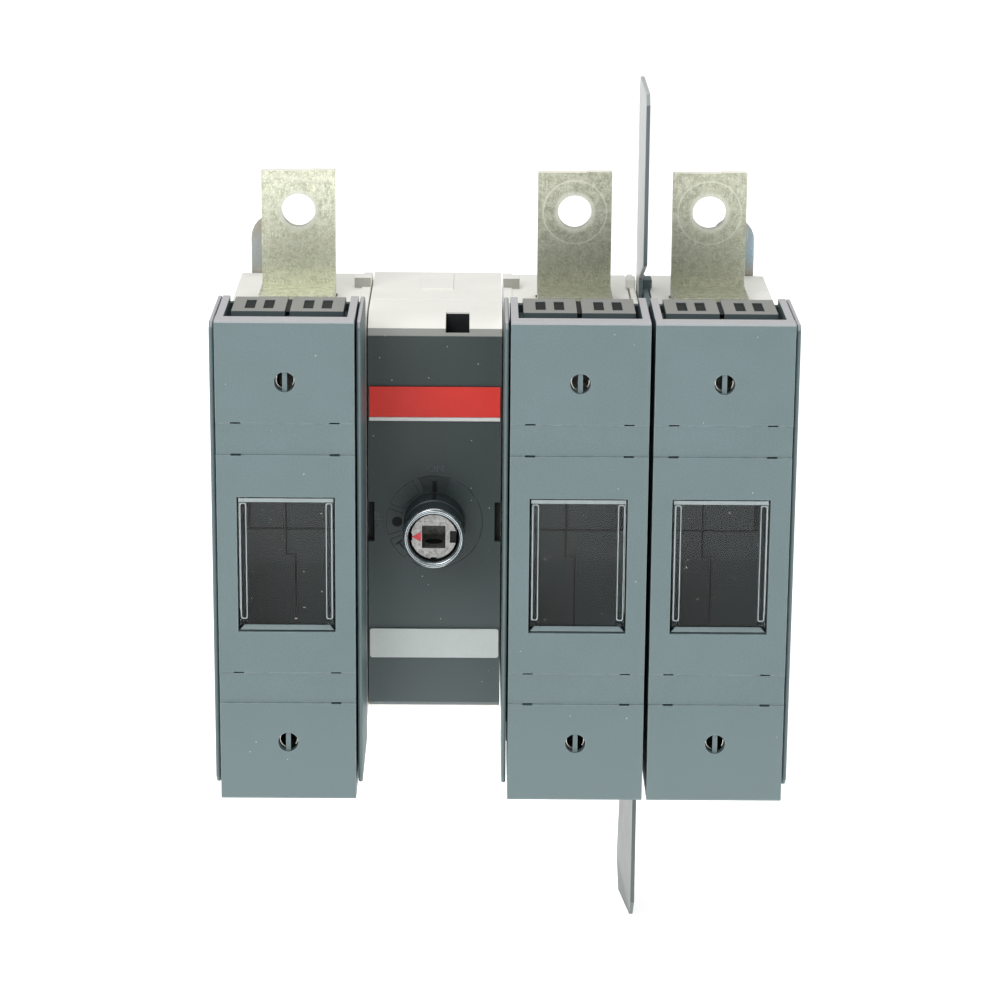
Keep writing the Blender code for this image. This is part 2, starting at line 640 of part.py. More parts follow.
def guide_plate(side, from_x):
    """A plate let into the base beside the barrier, with its front corners cut off."""
    span = sorted((side * GUIDE_INNER, side * GUIDE_OUTER))
    upper = [
        (-BASE_FRONT, FOOT_BOTTOM - PLATE_CHAMFER),
        (-BASE_FRONT + PLATE_CHAMFER, FOOT_BOTTOM),
        (-BASE_BACK, FOOT_BOTTOM),
    ]
    lower = [(y, -z) for y, z in reversed(upper)]
    plate = prism("X", span, upper + lower)
    return baked(plate, add=catches(side, span, FOOT_BOTTOM), cut=[shaft_bore(from_x)])


def mechanism_base():
    """The drive's case, a tray open to the front, whose end walls slope at the front."""
    half, top = MECHANISM_HALF_WIDTH, BASE_HALF_HEIGHT
    upper = [
        (-CASE_FRONT, top - CASE_SLOPE),
        (-CASE_FRONT + CASE_SLOPE_RUN, top),
        (0.0, top),
    ]
    lower = [(y, -z) for y, z in reversed(upper)]
    block = prism("X", (-half, half), upper + lower)
    inner_x, inner_z = half - MECHANISM_WALL, top - CASE_SLOPE - MECHANISM_WALL
    front = -CASE_FRONT - OVERSHOOT
    chamber = box((-inner_x, inner_x), (front, -BASE_BACK_WALL), (-inner_z, inner_z))
    slot_z = (inner_z - OVERSHOOT, top + OVERSHOOT)
    slot = box(AUXILIARY_SLOT, (front, -AUXILIARY_SLOT_BACK), slot_z)
    return baked(block, cut=[chamber, slot, shaft_bore(0.0)])


def mechanism_front():
    """The front panel, chamfered at both ends, with the shaft's hole and a slot in each side edge."""
    half, back = MECHANISM_HALF_WIDTH, -PANEL_DEPTH + PANEL_THICKNESS
    upper = [(-PANEL_DEPTH, PANEL_HALF_HEIGHT), (back, PANEL_HALF_HEIGHT + PANEL_CHAMFER)]
    lower = [(y, -z) for y, z in reversed(upper)]
    panel = prism("X", (-half, half), upper + lower)
    through = (-PANEL_DEPTH - OVERSHOOT, back + OVERSHOOT)
    hole = bar("Y", through, SHAFT_RADIUS + SEAM, sides=32)
    edge_slots = [
        box(x, through, (-SIDE_SLOT_HALF_HEIGHT, SIDE_SLOT_HALF_HEIGHT))
        for x in both_sides(half - SIDE_SLOT_WIDTH, half + OVERSHOOT)
    ]
    notch_y = (-PANEL_DEPTH + PANEL_THICKNESS / 2, back + OVERSHOOT)
    notch_z = (PANEL_HALF_HEIGHT - OVERSHOOT, PANEL_HALF_HEIGHT + PANEL_CHAMFER + OVERSHOOT)
    notch = box(AUXILIARY_SLOT, notch_y, notch_z)
    return baked(panel, cut=[hole, *edge_slots, notch])


def strip(span):
    front = PANEL_DEPTH + SEAM + STRIP_THICKNESS
    return baked(box((-STRIP_HALF_WIDTH, STRIP_HALF_WIDTH), (-front, -PANEL_DEPTH - SEAM), span))


def shaft_collar():
    tube = bar("Y", (-COLLAR_TIP, -PANEL_DEPTH - SEAM), COLLAR_RADIUS, sides=40)
    bore = bar("Y", (-COLLAR_TIP - OVERSHOOT, -PANEL_DEPTH), COLLAR_BORE, sides=40)
    return baked(tube, cut=[bore])


def collar_ring():
    """A turned ring on the collar's tip, with both front edges rounded off."""
    back, front = -COLLAR_TIP - SEAM, -COLLAR_TIP - SEAM - RING_LENGTH
    profile = [
        (COLLAR_BORE, back),
        (COLLAR_BORE, front + RING_EDGE),
        (COLLAR_BORE + RING_EDGE, front),
        (COLLAR_RADIUS - RING_EDGE, front),
        (COLLAR_RADIUS, front + RING_EDGE),
        (COLLAR_RADIUS, back),
    ]
    sides = 40
    bm = bmesh.new()
    rings = []
    for side in range(sides):
        turn = 2 * math.pi * side / sides
        rings.append([bm.verts.new((r * math.cos(turn), y, r * math.sin(turn))) for r, y in profile])
    for side in range(sides):
        here, there = rings[side], rings[(side + 1) % sides]
        for at in range(len(profile)):
            after = (at + 1) % len(profile)
            bm.faces.new((here[at], here[after], there[after], there[at]))
    return baked(linked("ring", bm))


def drive_shaft():
    """The operating shaft: square socket in front, retaining flange behind the panel, stub for the gear."""
    barrel = bar("Y", (-SHAFT_TIP, -GEAR_FRONT - SEAM), SHAFT_RADIUS, sides=32)
    flange_y = (-FLANGE_BACK - FLANGE_THICKNESS, -FLANGE_BACK)
    flange = bar("Y", flange_y, FLANGE_RADIUS, sides=32)
    stub = bar("Y", (-GEAR_FRONT - OVERSHOOT, -GEAR_FRONT + GEAR_FACE), STUB_RADIUS)
    half = SOCKET_SIDE / 2
    socket_y = (-SHAFT_TIP - OVERSHOOT, -SHAFT_TIP + SOCKET_DEPTH)
    socket = box((-half, half), socket_y, (-half, half))
    return baked(barrel, add=[flange, stub], cut=[socket])


def gear_ring(radius_scale, first_tooth):
    """Tooth outline of a mitre gear, scaled towards the gears' shared apex."""
    root = (GEAR_PITCH_RADIUS - GEAR_DEDENDUM) * radius_scale
    tip = (GEAR_PITCH_RADIUS + GEAR_ADDENDUM) * radius_scale
    points = []
    for tooth in range(GEAR_TEETH):
        middle = first_tooth + 2 * math.pi * tooth / GEAR_TEETH
        for radius, angle in (
            (root, -TOOTH_ROOT_ANGLE / 2),
            (tip, -TOOTH_TIP_ANGLE / 2),
            (tip, TOOTH_TIP_ANGLE / 2),
            (root, TOOTH_ROOT_ANGLE / 2),
        ):
            turn = middle + angle
            points.append((radius * math.cos(turn), radius * math.sin(turn)))
    return points


def mitre_gear(axis, apex, sign, first_tooth, bore):
    """A gear whose face lies from its pitch radius back towards the apex, on one side of it."""
    centre = {"X": (-ROTOR_DEPTH, 0.0), "Y": (0.0, 0.0)}[axis]
    distances = (GEAR_PITCH_RADIUS, GEAR_PITCH_RADIUS - GEAR_FACE)
    bm = bmesh.new()
    ends = []
    for distance in distances:
        ring = gear_ring(distance / GEAR_PITCH_RADIUS, first_tooth)
        along = apex + sign * distance
        moved = [(centre[0] + a, centre[1] + b) for a, b in ring]
        ends.append([bm.verts.new(on_axis(axis, along, a, b)) for a, b in moved])
    bm.faces.new(ends[0])
    bm.faces.new(reversed(ends[1]))
    for here in range(len(ends[0])):
        there = (here + 1) % len(ends[0])
        bm.faces.new((ends[0][here], ends[0][there], ends[1][there], ends[1][here]))
    reach = sorted((apex, apex + sign * (GEAR_PITCH_RADIUS + OVERSHOOT)))
    return baked(linked("gear", bm), cut=[bar(axis, reach, bore, centre)])


def snap_spring():
    """A coil round the operating shaft, between its flange and its gear."""
    curve = bpy.data.curves.new("snap_spring", "CURVE")
    curve.dimensions = "3D"
    curve.bevel_depth = SPRING_WIRE * MM
    curve.bevel_resolution = 1
    curve.use_fill_caps = True
    spline = curve.splines.new("POLY")
    steps_round = 20
    steps = SPRING_TURNS * steps_round
    spline.points.add(steps)
    back, front = -GEAR_FRONT - SPRING_GEAR_GAP, -FLANGE_BACK + SPRING_FLANGE_GAP
    for step in range(steps + 1):
        turn = 2 * math.pi * step / steps_round
        y = back + (front - back) * step / steps
        place_at = (SPRING_RADIUS * math.cos(turn), y, SPRING_RADIUS * math.sin(turn))
        spline.points[step].co = (*[part * MM for part in place_at], 1.0)
    coil = bpy.data.objects.new("coil", curve)
    bpy.context.scene.collection.objects.link(coil)
    return baked(coil)


def mounting_rail(side):
    """A steel rail behind an end pole, with a round end and a bolt hole above and below the case."""
    radius = RAIL_WIDTH / 2
    middle = side * RAIL_OFFSET
    end = RAIL_HALF_LENGTH - radius
    outline = arc(radius, 0.0, math.pi, 12, (middle, end))
    outline += arc(radius, math.pi, 2 * math.pi, 12, (middle, -end))
    rail = prism("Y", (-RAIL_THICKNESS, 0.0), outline)
    through = (-RAIL_THICKNESS - OVERSHOOT, OVERSHOOT)
    holes = [
        bar("Y", through, RAIL_HOLE_RADIUS, (middle, z))
        for z in (RAIL_HOLE_HEIGHT, -RAIL_HOLE_HEIGHT)
    ]
    return baked(rail, cut=holes)


def phase_barrier(rows):
    """A thin sheet between two poles, from rows of (height, front depth, back depth, lean)."""
    half = BARRIER_THICKNESS / 2
    bm = bmesh.new()
    rings = []
    for z, front, back, lean in rows:
        corners = ((-half, -front), (half, -front), (half - lean, -back), (-half - lean, -back))
        rings.append([bm.verts.new((x, y, z)) for x, y in corners])
    for low, high in zip(rings, rings[1:]):
        for here in range(4):
            there = (here + 1) % 4
            bm.faces.new((low[here], low[there], high[there], high[here]))
    bm.faces.new(rings[0])
    bm.faces.new(reversed(rings[-1]))
    return baked(linked("sheet", bm))


def upper_barrier():
    corner = BARRIER_CORNER
    rows = [
        (BARRIER_ROOT_HEIGHT, BARRIER_ROOT_FRONT, BARRIER_BACK, 0.0),
        (BARRIER_SHOULDER_HEIGHT, BARRIER_ROOT_FRONT, BARRIER_BACK, 0.0),
        (BARRIER_SHOULDER_HEIGHT + BARRIER_SLOPE, BARRIER_FRONT, BARRIER_BACK, 0.0),
        (BARRIER_TOP - corner, BARRIER_FRONT, BARRIER_BACK, 0.0),
        (BARRIER_TOP, BARRIER_FRONT - corner, BARRIER_BACK + corner, 0.0),
    ]
    return phase_barrier(rows)


def lower_barrier():
    corner = BARRIER_CORNER
    straight = BARRIER_SHOULDER_HEIGHT
    slant = (BARRIER_FRONT - BARRIER_BACK) / 3
    rows = [
        (-BARRIER_ROOT_HEIGHT, BARRIER_ROOT_FRONT, BARRIER_BACK, 0.0),
        (-straight, BARRIER_ROOT_FRONT, BARRIER_BACK, 0.0),
        (-straight - BARRIER_SLOPE, BARRIER_FRONT, BARRIER_BACK, BARRIER_LEAN / 2),
        (-BARRIER_BOTTOM + 2 * corner, BARRIER_FRONT, BARRIER_BACK, BARRIER_LEAN),
        (-BARRIER_BOTTOM, BARRIER_FRONT - slant / 2, BARRIER_BACK + slant, BARRIER_LEAN),
    ]
    return phase_barrier(rows)


def build_poles(paint):
    shapes = {
        "pole_housing": (pole_housing(), paint["compartment"]),
        "terminal_top": (terminal(), paint["plated"]),
        "fuse_jaw_top": (fuse_jaw(), paint["silvered"]),
        "arc_vent_top": (arc_vent(), paint["cover"]),
    }
    for name in ("terminal_top", "fuse_jaw_top", "arc_vent_top"):
        mesh, finish = shapes[name]
        shapes[name.replace("top", "bottom")] = (mirrored(mesh), finish)
    moving = {
        "fuse_cover": (fuse_cover(), paint["cover"]),
        "cover_window": (cover_window(), paint["clear"]),
    }
    turning = {
        "rotor": (rotor(), paint["rotor"]),
        "rotor_contact_front": (rotor_contact(math.pi), paint["silvered"]),
        "rotor_contact_rear": (rotor_contact(0.0), paint["silvered"]),
    }
    cross_axis = pivot("cross_shaft_axis", 0.0, -ROTOR_DEPTH, 0.0)
    for number, x in enumerate(POLE_X, 1):
        guided_side = (0, 1, -1)[number - 1]  # the barrier stands between poles 2 and 3
        flanged_side = (1, -1, 0)[number - 1]  # the mechanism stands between poles 1 and 2
        base = pole_base(x, guided_side, flanged_side)
        place(f"pole_base_{number}", base, paint["base"], x)
        for name, (mesh, finish) in shapes.items():
            place(f"{name}_{number}", mesh, finish, x)
        hinge = pivot(f"cover_hinge_{number}", x, -HINGE_DEPTH, HINGE_HEIGHT)
        for name, (mesh, finish) in moving.items():
            place(f"{name}_{number}", mesh, finish, x, hinge)
        for name, (mesh, finish) in turning.items():
            place(f"{name}_{number}", mesh, finish, x, cross_axis)
    return cross_axis


def build_sides(paint):
    first, second, third = POLE_X
    place("side_plate_1_left", side_plate(-1), paint["cover"], first)
    place("side_plate_1_right", side_plate(1), paint["cover"], first)
    place("side_plate_2_left", side_plate(-1), paint["cover"], second)
    place("guide_plate_2", guide_plate(1, second), paint["base"], second)
    place("guide_plate_3", guide_plate(-1, third), paint["cover"], third)
    place("side_plate_3_right", side_plate(1), paint["cover"], third)
    place("mounting_rail_left", mounting_rail(-1), paint["plated"], first)
    place("mounting_rail_right", mounting_rail(1), paint["plated"], third)
    place("phase_barrier_top", upper_barrier(), paint["barrier"], BARRIER_X)
    place("phase_barrier_bottom", lower_barrier(), paint["barrier"], BARRIER_X)


def build_mechanism(paint, cross_axis):
    place("mechanism_base", mechanism_base(), paint["base"])
    place("mechanism_front", mechanism_front(), paint["compartment"])
    place("red_strip", strip(RED_STRIP), paint["red"])
    place("marking_strip", strip(MARKING_STRIP), paint["label"])
    place("shaft_collar", shaft_collar(), paint["compartment"])
    place("collar_ring", collar_ring(), paint["chrome"])
    place("snap_spring", snap_spring(), paint["plated"])
    shaft_axis = pivot("drive_shaft_axis", 0.0, -SHAFT_TIP, 0.0)
    place("drive_shaft", drive_shaft(), paint["cast"], 0.0, shaft_axis)
    driver = mitre_gear("Y", -ROTOR_DEPTH, -1, 0.0, STUB_RADIUS + SEAM)
    place("drive_bevel", driver, paint["cast"], 0.0, shaft_axis)
    half_tooth = math.pi / GEAR_TEETH
    follower = mitre_gear("X", 0.0, 1, math.pi + half_tooth, CROSS_SHAFT_RADIUS + SEAM)
    place("cross_bevel", follower, paint["cast"], 0.0, cross_axis)
    cross = baked(bar("X", SHAFT_RUN, CROSS_SHAFT_RADIUS, (-ROTOR_DEPTH, 0.0)))
    place("cross_shaft", cross, paint["cast"], 0.0, cross_axis)


def main():
    clear_scene()
    paint = {
        "cover": material("cover_grey", (0.205, 0.275, 0.293), 0.55),
        "compartment": material("compartment_charcoal", (0.065, 0.084, 0.088), 0.5),
        "base": material("base_cream", (0.83, 0.83, 0.79), 0.5),
        "clear": material("window_clear", (0.9, 0.93, 0.93), 0.08, 0.0, 0.3),
        "plated": material("plated_steel", (0.42, 0.41, 0.3), 0.35, 1.0),
        "silvered": material("silvered_copper", (0.75, 0.74, 0.7), 0.3, 1.0),
        "rotor": material("rotor_resin", (0.12, 0.08, 0.05), 0.6),
        "cast": material("cast_alloy", (0.45, 0.45, 0.45), 0.45, 1.0),
        "chrome": material("ring_chrome", (0.75, 0.77, 0.78), 0.12, 1.0),
        "red": material("strip_red", (0.58, 0.06, 0.05), 0.35),
        "label": material("strip_white", (0.5, 0.54, 0.54), 0.45),
        "barrier": material("barrier_sheet", (0.25, 0.3, 0.32), 0.5),
    }
    cross_axis = build_poles(paint)
    build_sides(paint)
    build_mechanism(paint, cross_axis)


main()
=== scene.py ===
import math

import bmesh
import bpy
from mathutils import Matrix, Vector


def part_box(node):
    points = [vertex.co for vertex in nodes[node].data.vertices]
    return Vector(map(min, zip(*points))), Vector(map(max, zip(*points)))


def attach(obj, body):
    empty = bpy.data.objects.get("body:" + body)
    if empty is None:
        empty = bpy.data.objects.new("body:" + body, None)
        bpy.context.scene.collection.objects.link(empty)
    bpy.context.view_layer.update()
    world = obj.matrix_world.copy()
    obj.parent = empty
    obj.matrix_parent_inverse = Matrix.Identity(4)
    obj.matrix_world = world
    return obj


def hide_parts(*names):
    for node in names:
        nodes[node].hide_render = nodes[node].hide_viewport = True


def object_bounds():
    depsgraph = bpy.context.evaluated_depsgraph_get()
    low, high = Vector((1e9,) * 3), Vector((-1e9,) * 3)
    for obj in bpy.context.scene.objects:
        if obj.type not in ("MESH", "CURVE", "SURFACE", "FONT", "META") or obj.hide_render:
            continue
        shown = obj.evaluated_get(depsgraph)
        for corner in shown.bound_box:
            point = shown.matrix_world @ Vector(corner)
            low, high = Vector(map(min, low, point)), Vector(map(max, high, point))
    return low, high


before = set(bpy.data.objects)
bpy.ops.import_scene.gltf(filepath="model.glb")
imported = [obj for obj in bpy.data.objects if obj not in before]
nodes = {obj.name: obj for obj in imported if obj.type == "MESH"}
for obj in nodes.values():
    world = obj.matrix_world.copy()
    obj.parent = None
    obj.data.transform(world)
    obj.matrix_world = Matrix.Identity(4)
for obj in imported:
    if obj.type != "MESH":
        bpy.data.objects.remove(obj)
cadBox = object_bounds()
scene = bpy.context.scene
mm = 0.001
poles = (1, 2, 3)
poleCentre = {number: sum(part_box(f"fuse_cover_{number}"), Vector()).x / 2 for number in poles}
fixedBody = "switch_body"
print("frame loaded:", len(nodes), "nodes")


# mesh helpers

def addObject(name, mesh):
    made = bpy.data.objects.new(name, mesh)
    scene.collection.objects.link(made)
    return made


def meshFrom(bm, name):
    mesh = bpy.data.meshes.new(name)
    bm.to_mesh(mesh)
    bm.free()
    return mesh


def cleanCopy(nodeName):
    # the node's loose triangles, joined up again into flat faces
    bm = bmesh.new()
    bm.from_mesh(nodes[nodeName].data)
    bmesh.ops.remove_doubles(bm, verts=bm.verts, dist=0.002 * mm)
    bmesh.ops.dissolve_limit(bm, angle_limit=math.radians(0.4), verts=bm.verts, edges=bm.edges)
    return bm


def bakeModifiers(obj):
    graph = bpy.context.evaluated_depsgraph_get()
    mesh = bpy.data.meshes.new_from_object(obj.evaluated_get(graph))
    obj.modifiers.clear()
    obj.data = mesh
    return obj


def carve(obj, cutters):
    for cutter in cutters:
        step = obj.modifiers.new("carve", "BOOLEAN")
        step.operation = "DIFFERENCE"
        step.object = cutter
        step.solver = "EXACT"
        step.use_self = True
    bakeModifiers(obj)
    for cutter in cutters:
        bpy.data.objects.remove(cutter)
    return obj


def roundEdges(obj, width, segments=2, angle=32):
    step = obj.modifiers.new("round", "BEVEL")
    step.width = width
    step.segments = segments
    step.limit_method = "ANGLE"
    step.angle_limit = math.radians(angle)
    step.use_clamp_overlap = True
    return smoothed(bakeModifiers(obj), angle)


def creased(obj, angle):
    obj.data.shade_smooth()
    obj.data.set_sharp_from_angle(angle=math.radians(angle))
    return obj


def smoothed(obj, angle=32):
    # smooth shading in which the large flat faces stay flat
    step = creased(obj, angle).modifiers.new("flat", "WEIGHTED_NORMAL")
    step.keep_sharp = True
    step.weight = 80
    return bakeModifiers(obj)


def block(name, low, high):
    bm = bmesh.new()
    bmesh.ops.create_cube(bm, size=1.0)
    for vert in bm.verts:
        vert.co = [a if part < 0 else b for part, a, b in zip(vert.co, low, high)]
    return addObject(name, meshFrom(bm, name))


def lofted(name, rings, closed=False):
    # faces between rings of as many points each; the end rings are joined up or filled
    bm = bmesh.new()
    rings = [[bm.verts.new(point) for point in ring] for ring in rings]
    if not closed:
        bm.faces.new(rings[0])
        bm.faces.new(list(reversed(rings[-1])))
    for first, second in zip(rings, rings[1:] + rings[:1] if closed else rings[1:]):
        for here in range(len(first)):
            there = (here + 1) % len(first)
            bm.faces.new((first[here], second[here], second[there], first[there]))
    bmesh.ops.recalc_face_normals(bm, faces=bm.faces)
    return addObject(name, meshFrom(bm, name))


def slab(name, outline, yFront, yBack):
    # an outline of (x, z) points, carried back from yFront to yBack
    return lofted(name, [[(x, y, z) for x, z in outline] for y in (yFront, yBack)])


def bandSlab(name, outer, inner, yFront, yBack):
    # a closed band between two loops with the same number of points
    around = ((outer, yFront), (inner, yFront), (inner, yBack), (outer, yBack))
    return lofted(name, [[(x, y, z) for x, z in loop] for loop, y in around], closed=True)


def turned(name, profile, steps):
    # a closed (radius, y) profile turned about the shaft's axis
    turns = [2 * math.pi * step / steps for step in range(steps)]
    rings = [[(r * math.cos(turn), y, r * math.sin(turn)) for r, y in profile] for turn in turns]
    return lofted(name, rings, closed=True)


def lettering(name, words, height, centre, turn, yBack, depth):
    # generic dial words, as raised letters on a face that looks along -Y
    curve = bpy.data.curves.new(name, "FONT")
    curve.body = words
    curve.size = height * 1.4
    curve.align_x = "CENTER"
    curve.align_y = "CENTER"
    curve.extrude = depth / 2
    curve.resolution_u = 3
    made = addObject(name, curve)
    graph = bpy.context.evaluated_depsgraph_get()
    mesh = bpy.data.meshes.new_from_object(made.evaluated_get(graph))
    bpy.data.objects.remove(made)
    place = Matrix.Translation((centre[0], yBack - depth / 2, centre[1]))
    mesh.transform(place @ Matrix.Rotation(turn, 4, "Y") @ Matrix.Rotation(math.pi / 2, 4, "X"))
    return addObject(name, mesh)


def joined(name, pieces):
    bm = bmesh.new()
    for piece in pieces:
        bm.from_mesh(piece.data)
        bpy.data.objects.remove(piece)
    return addObject(name, meshFrom(bm, name))


def arcPoints(radius, start, end, steps, centre=(0.0, 0.0)):
    found = []
    for step in range(steps + 1):
        turn = start + (end - start) * step / steps
        found.append((centre[0] + radius * math.cos(turn), centre[1] + radius * math.sin(turn)))
    return found


def faceMap(obj, centre):
    # own UV map: metres across and up from a point on the front face
    layer = obj.data.uv_layers.new(name="faceMap")
    for loop in obj.data.loops:
        at = obj.data.vertices[loop.vertex_index].co
        layer.data[loop.index].uv = (at.x - centre[0], at.z - centre[1])


def coat(obj, finish):
    obj.data.materials.clear()
    obj.data.materials.append(paint[finish])


def settle(obj, finish, body=fixedBody, replaced=(), slotName=None):
    coat(obj, finish)
    slotName = slotName or finishSlot[finish]
    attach(obj, body)
    if replaced:
        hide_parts(*replaced)
    return obj


def nodeCopy(nodeName):
    return addObject(f"{nodeName}_fine", meshFrom(cleanCopy(nodeName), nodeName))


def fine(nodeName, finish, width, body=fixedBody, cutters=(), engraved=()):
    # a node's own shape with its edges rounded, standing for the node
    obj = nodeCopy(nodeName)
    if cutters:
        carve(obj, cutters)
    roundEdges(obj, width)
    if engraved:
        smoothed(carve(obj, engraved))
    return settle(obj, finish, body, (nodeName,))


# node helpers

def plug(tree, value, socket):
    # a plain value, another socket, or a node that stands for its first output
    if isinstance(value, bpy.types.Node):
        value = value.outputs[0]
    if isinstance(value, bpy.types.NodeSocket):
        tree.links.new(value, socket)
    else:
        socket.default_value = value


def addNode(tree, kind, inputs=None, **settings):
    node = tree.nodes.new(kind)
    for key, value in settings.items():
        setattr(node, key, value)
    for key, value in (inputs or {}).items():
        plug(tree, value, node.inputs[key])
    return node


def calc(tree, operation, *values):
    return addNode(tree, "ShaderNodeMath", dict(enumerate(values)), operation=operation)


# Geometry Nodes trees

def startTree(name, **inputs):
    tree = bpy.data.node_groups.new(name, "GeometryNodeTree")
    for label, kind in {"Geometry": "Geometry", **inputs, "Material": "Material"}.items():
        tree.interface.new_socket(label, in_out="INPUT", socket_type=f"NodeSocket{kind}")
    tree.interface.new_socket("Geometry", in_out="OUTPUT", socket_type="NodeSocketGeometry")
    return tree, tree.nodes.new("NodeGroupInput").outputs


def endTree(tree, given, geometry):
    real = addNode(tree, "GeometryNodeRealizeInstances", {"Geometry": geometry})
    done = addNode(tree, "GeometryNodeSetMaterial", {"Geometry": real, "Material": given["Material"]})
    addNode(tree, "NodeGroupOutput", {"Geometry": done})
    return tree


def grownBy(tree, name, base, values):
    # runs a tree on a mesh with the given values and keeps the result as a plain mesh
    obj = addObject(name, base)
    step = obj.modifiers.new("grow", "NODES")
    step.node_group = tree
    for item in tree.interface.items_tree:
        if item.item_type == "SOCKET" and item.in_out == "INPUT" and item.name in values:
            step[item.identifier] = values[item.name]
    return bakeModifiers(obj)


def pointMesh(name, places):
    mesh = bpy.data.meshes.new(name)
    mesh.from_pydata([tuple(place) for place in places], [], [])
    return mesh


def slotTree():
    # one small block at every point
    tree, given = startTree("slotBlocks", Width="Float", Depth="Float", Height="Float")
    size = addNode(tree, "ShaderNodeCombineXYZ", {
        "X": given["Width"], "Y": given["Depth"], "Z": given["Height"]})
    cube = addNode(tree, "GeometryNodeMeshCube", {"Size": size})
    points = addNode(tree, "GeometryNodeMeshToPoints", {"Mesh": given["Geometry"]})
    laid = addNode(tree, "GeometryNodeInstanceOnPoints", {"Points": points, "Instance": cube})
    return endTree(tree, given, laid)


def coinTree():
    # one short round plug at every point, its axis along Y
    tree, given = startTree("coinPlugs", Radius="Float", Depth="Float")
    plugShape = addNode(tree, "GeometryNodeMeshCylinder", {
        "Vertices": 28, "Radius": given["Radius"], "Depth": given["Depth"]})
    points = addNode(tree, "GeometryNodeMeshToPoints", {"Mesh": given["Geometry"]})
    laid = addNode(tree, "GeometryNodeInstanceOnPoints", {
        "Points": points, "Instance": plugShape, "Rotation": (math.pi / 2, 0.0, 0.0)})
    return endTree(tree, given, laid)


def fleckTree():
    # dust and lint scattered over a face: thin flakes of random size and turn
    tree, given = startTree("flecks", Density="Float", Size="Float", Seed="Int")
    spread = addNode(tree, "GeometryNodeDistributePointsOnFaces", {
        "Mesh": given["Geometry"], "Density": given["Density"], "Seed": given["Seed"]})
    flake = addNode(tree, "GeometryNodeMeshIcoSphere", {"Radius": 1.0, "Subdivisions": 1})
    squeeze = addNode(tree, "FunctionNodeRandomValue", {
        0: (0.5, 0.12, 0.3), 1: (2.6, 0.12, 0.8), "Seed": given["Seed"]}, data_type="FLOAT_VECTOR")
    chance = addNode(tree, "FunctionNodeRandomValue", {2: 0.0, 3: 1.0}, data_type="FLOAT")
    bigger = calc(tree, "MULTIPLY_ADD", calc(tree, "POWER", chance.outputs[1], 5.0), 1.6, 0.35)
    scaled = addNode(tree, "ShaderNodeVectorMath", {
        0: squeeze, "Scale": calc(tree, "MULTIPLY", bigger, given["Size"])}, operation="SCALE")
    turn = addNode(tree, "FunctionNodeRandomValue", {
        0: (0.0, 0.0, 0.0), 1: (0.0, math.pi, 0.0)}, data_type="FLOAT_VECTOR")
    laid = addNode(tree, "GeometryNodeInstanceOnPoints", {
        "Points": spread, "Instance": flake, "Rotation": turn, "Scale": scaled})
    return endTree(tree, given, laid)


def coilTree():
    # a wire wound into a coil along -Y
    tree, given = startTree("coil", Turns="Float", Radius="Float", Length="Float", Wire="Float",
                            Start="Vector")
    spiral = addNode(tree, "GeometryNodeCurveSpiral", {
        "Resolution": 40, "Rotations": given["Turns"], "Start Radius": given["Radius"],
        "End Radius": given["Radius"], "Height": given["Length"]})
    ring = addNode(tree, "GeometryNodeCurvePrimitiveCircle", {"Resolution": 14, "Radius": given["Wire"]})
    wire = addNode(tree, "GeometryNodeCurveToMesh", {
        "Curve": spiral, "Profile Curve": ring, "Fill Caps": True})
    stood = addNode(tree, "GeometryNodeTransform", {
        "Geometry": wire, "Translation": given["Start"], "Rotation": (math.pi / 2, 0.0, 0.0)})
    return endTree(tree, given, stood)


# shader groups shared by the finishes

def startGroup(name, outputs, **inputs):
    tree = bpy.data.node_groups.new(name, "ShaderNodeTree")
    for label, value in inputs.items():
        made = tree.interface.new_socket(label, in_out="INPUT", socket_type="NodeSocketFloat")
        made.default_value = value
    for label in outputs:
        tree.interface.new_socket(label, in_out="OUTPUT", socket_type="NodeSocketFloat")
    return tree, tree.nodes.new("NodeGroupInput").outputs


def endGroup(tree, **results):
    addNode(tree, "NodeGroupOutput", results)
    return tree


def objectCoords(tree):
    return addNode(tree, "ShaderNodeTexCoord").outputs["Object"]


def heightOf(tree):
    return addNode(tree, "ShaderNodeSeparateXYZ", {"Vector": objectCoords(tree)}).outputs["Z"]


def noise(tree, vector, scale, detail, **more):
    return addNode(tree, "ShaderNodeTexNoise", {"Vector": vector, "Scale": scale, "Detail": detail, **more})


def ramp(tree, value, low, high, bottom=0.0, top=1.0, curve="SMOOTHSTEP"):
    return addNode(tree, "ShaderNodeMapRange", {
        "Value": value, "From Min": low, "From Max": high, "To Min": bottom, "To Max": top},
        interpolation_type=curve)


def grainGroup():
    # spark-eroded mould texture: fine height, and a slow drift of tone
    tree, given = startGroup("mouldGrain", ("Height", "Tone"), Scale=2600.0, Drift=45.0)
    coords = objectCoords(tree)
    small = noise(tree, coords, given["Scale"], 3.0, Roughness=0.6)
    slow = noise(tree, coords, given["Drift"], 4.0, Roughness=0.62)
    return endGroup(tree, Height=small, Tone=slow)


def dustGroup():
    # few pale specks: cells with a random gate
    tree, given = startGroup("dustSpecks", ("Mask",), Scale=420.0, Share=0.02, Size=0.16)
    cells = addNode(tree, "ShaderNodeTexVoronoi", {
        "Vector": objectCoords(tree), "Scale": given["Scale"], "Randomness": 1.0})
    gate = addNode(tree, "ShaderNodeSeparateColor", {"Color": cells.outputs["Color"]})
    some = calc(tree, "LESS_THAN", gate, given["Share"])
    near = calc(tree, "LESS_THAN", cells.outputs["Distance"], given["Size"])
    return endGroup(tree, Mask=calc(tree, "MULTIPLY", some, near))


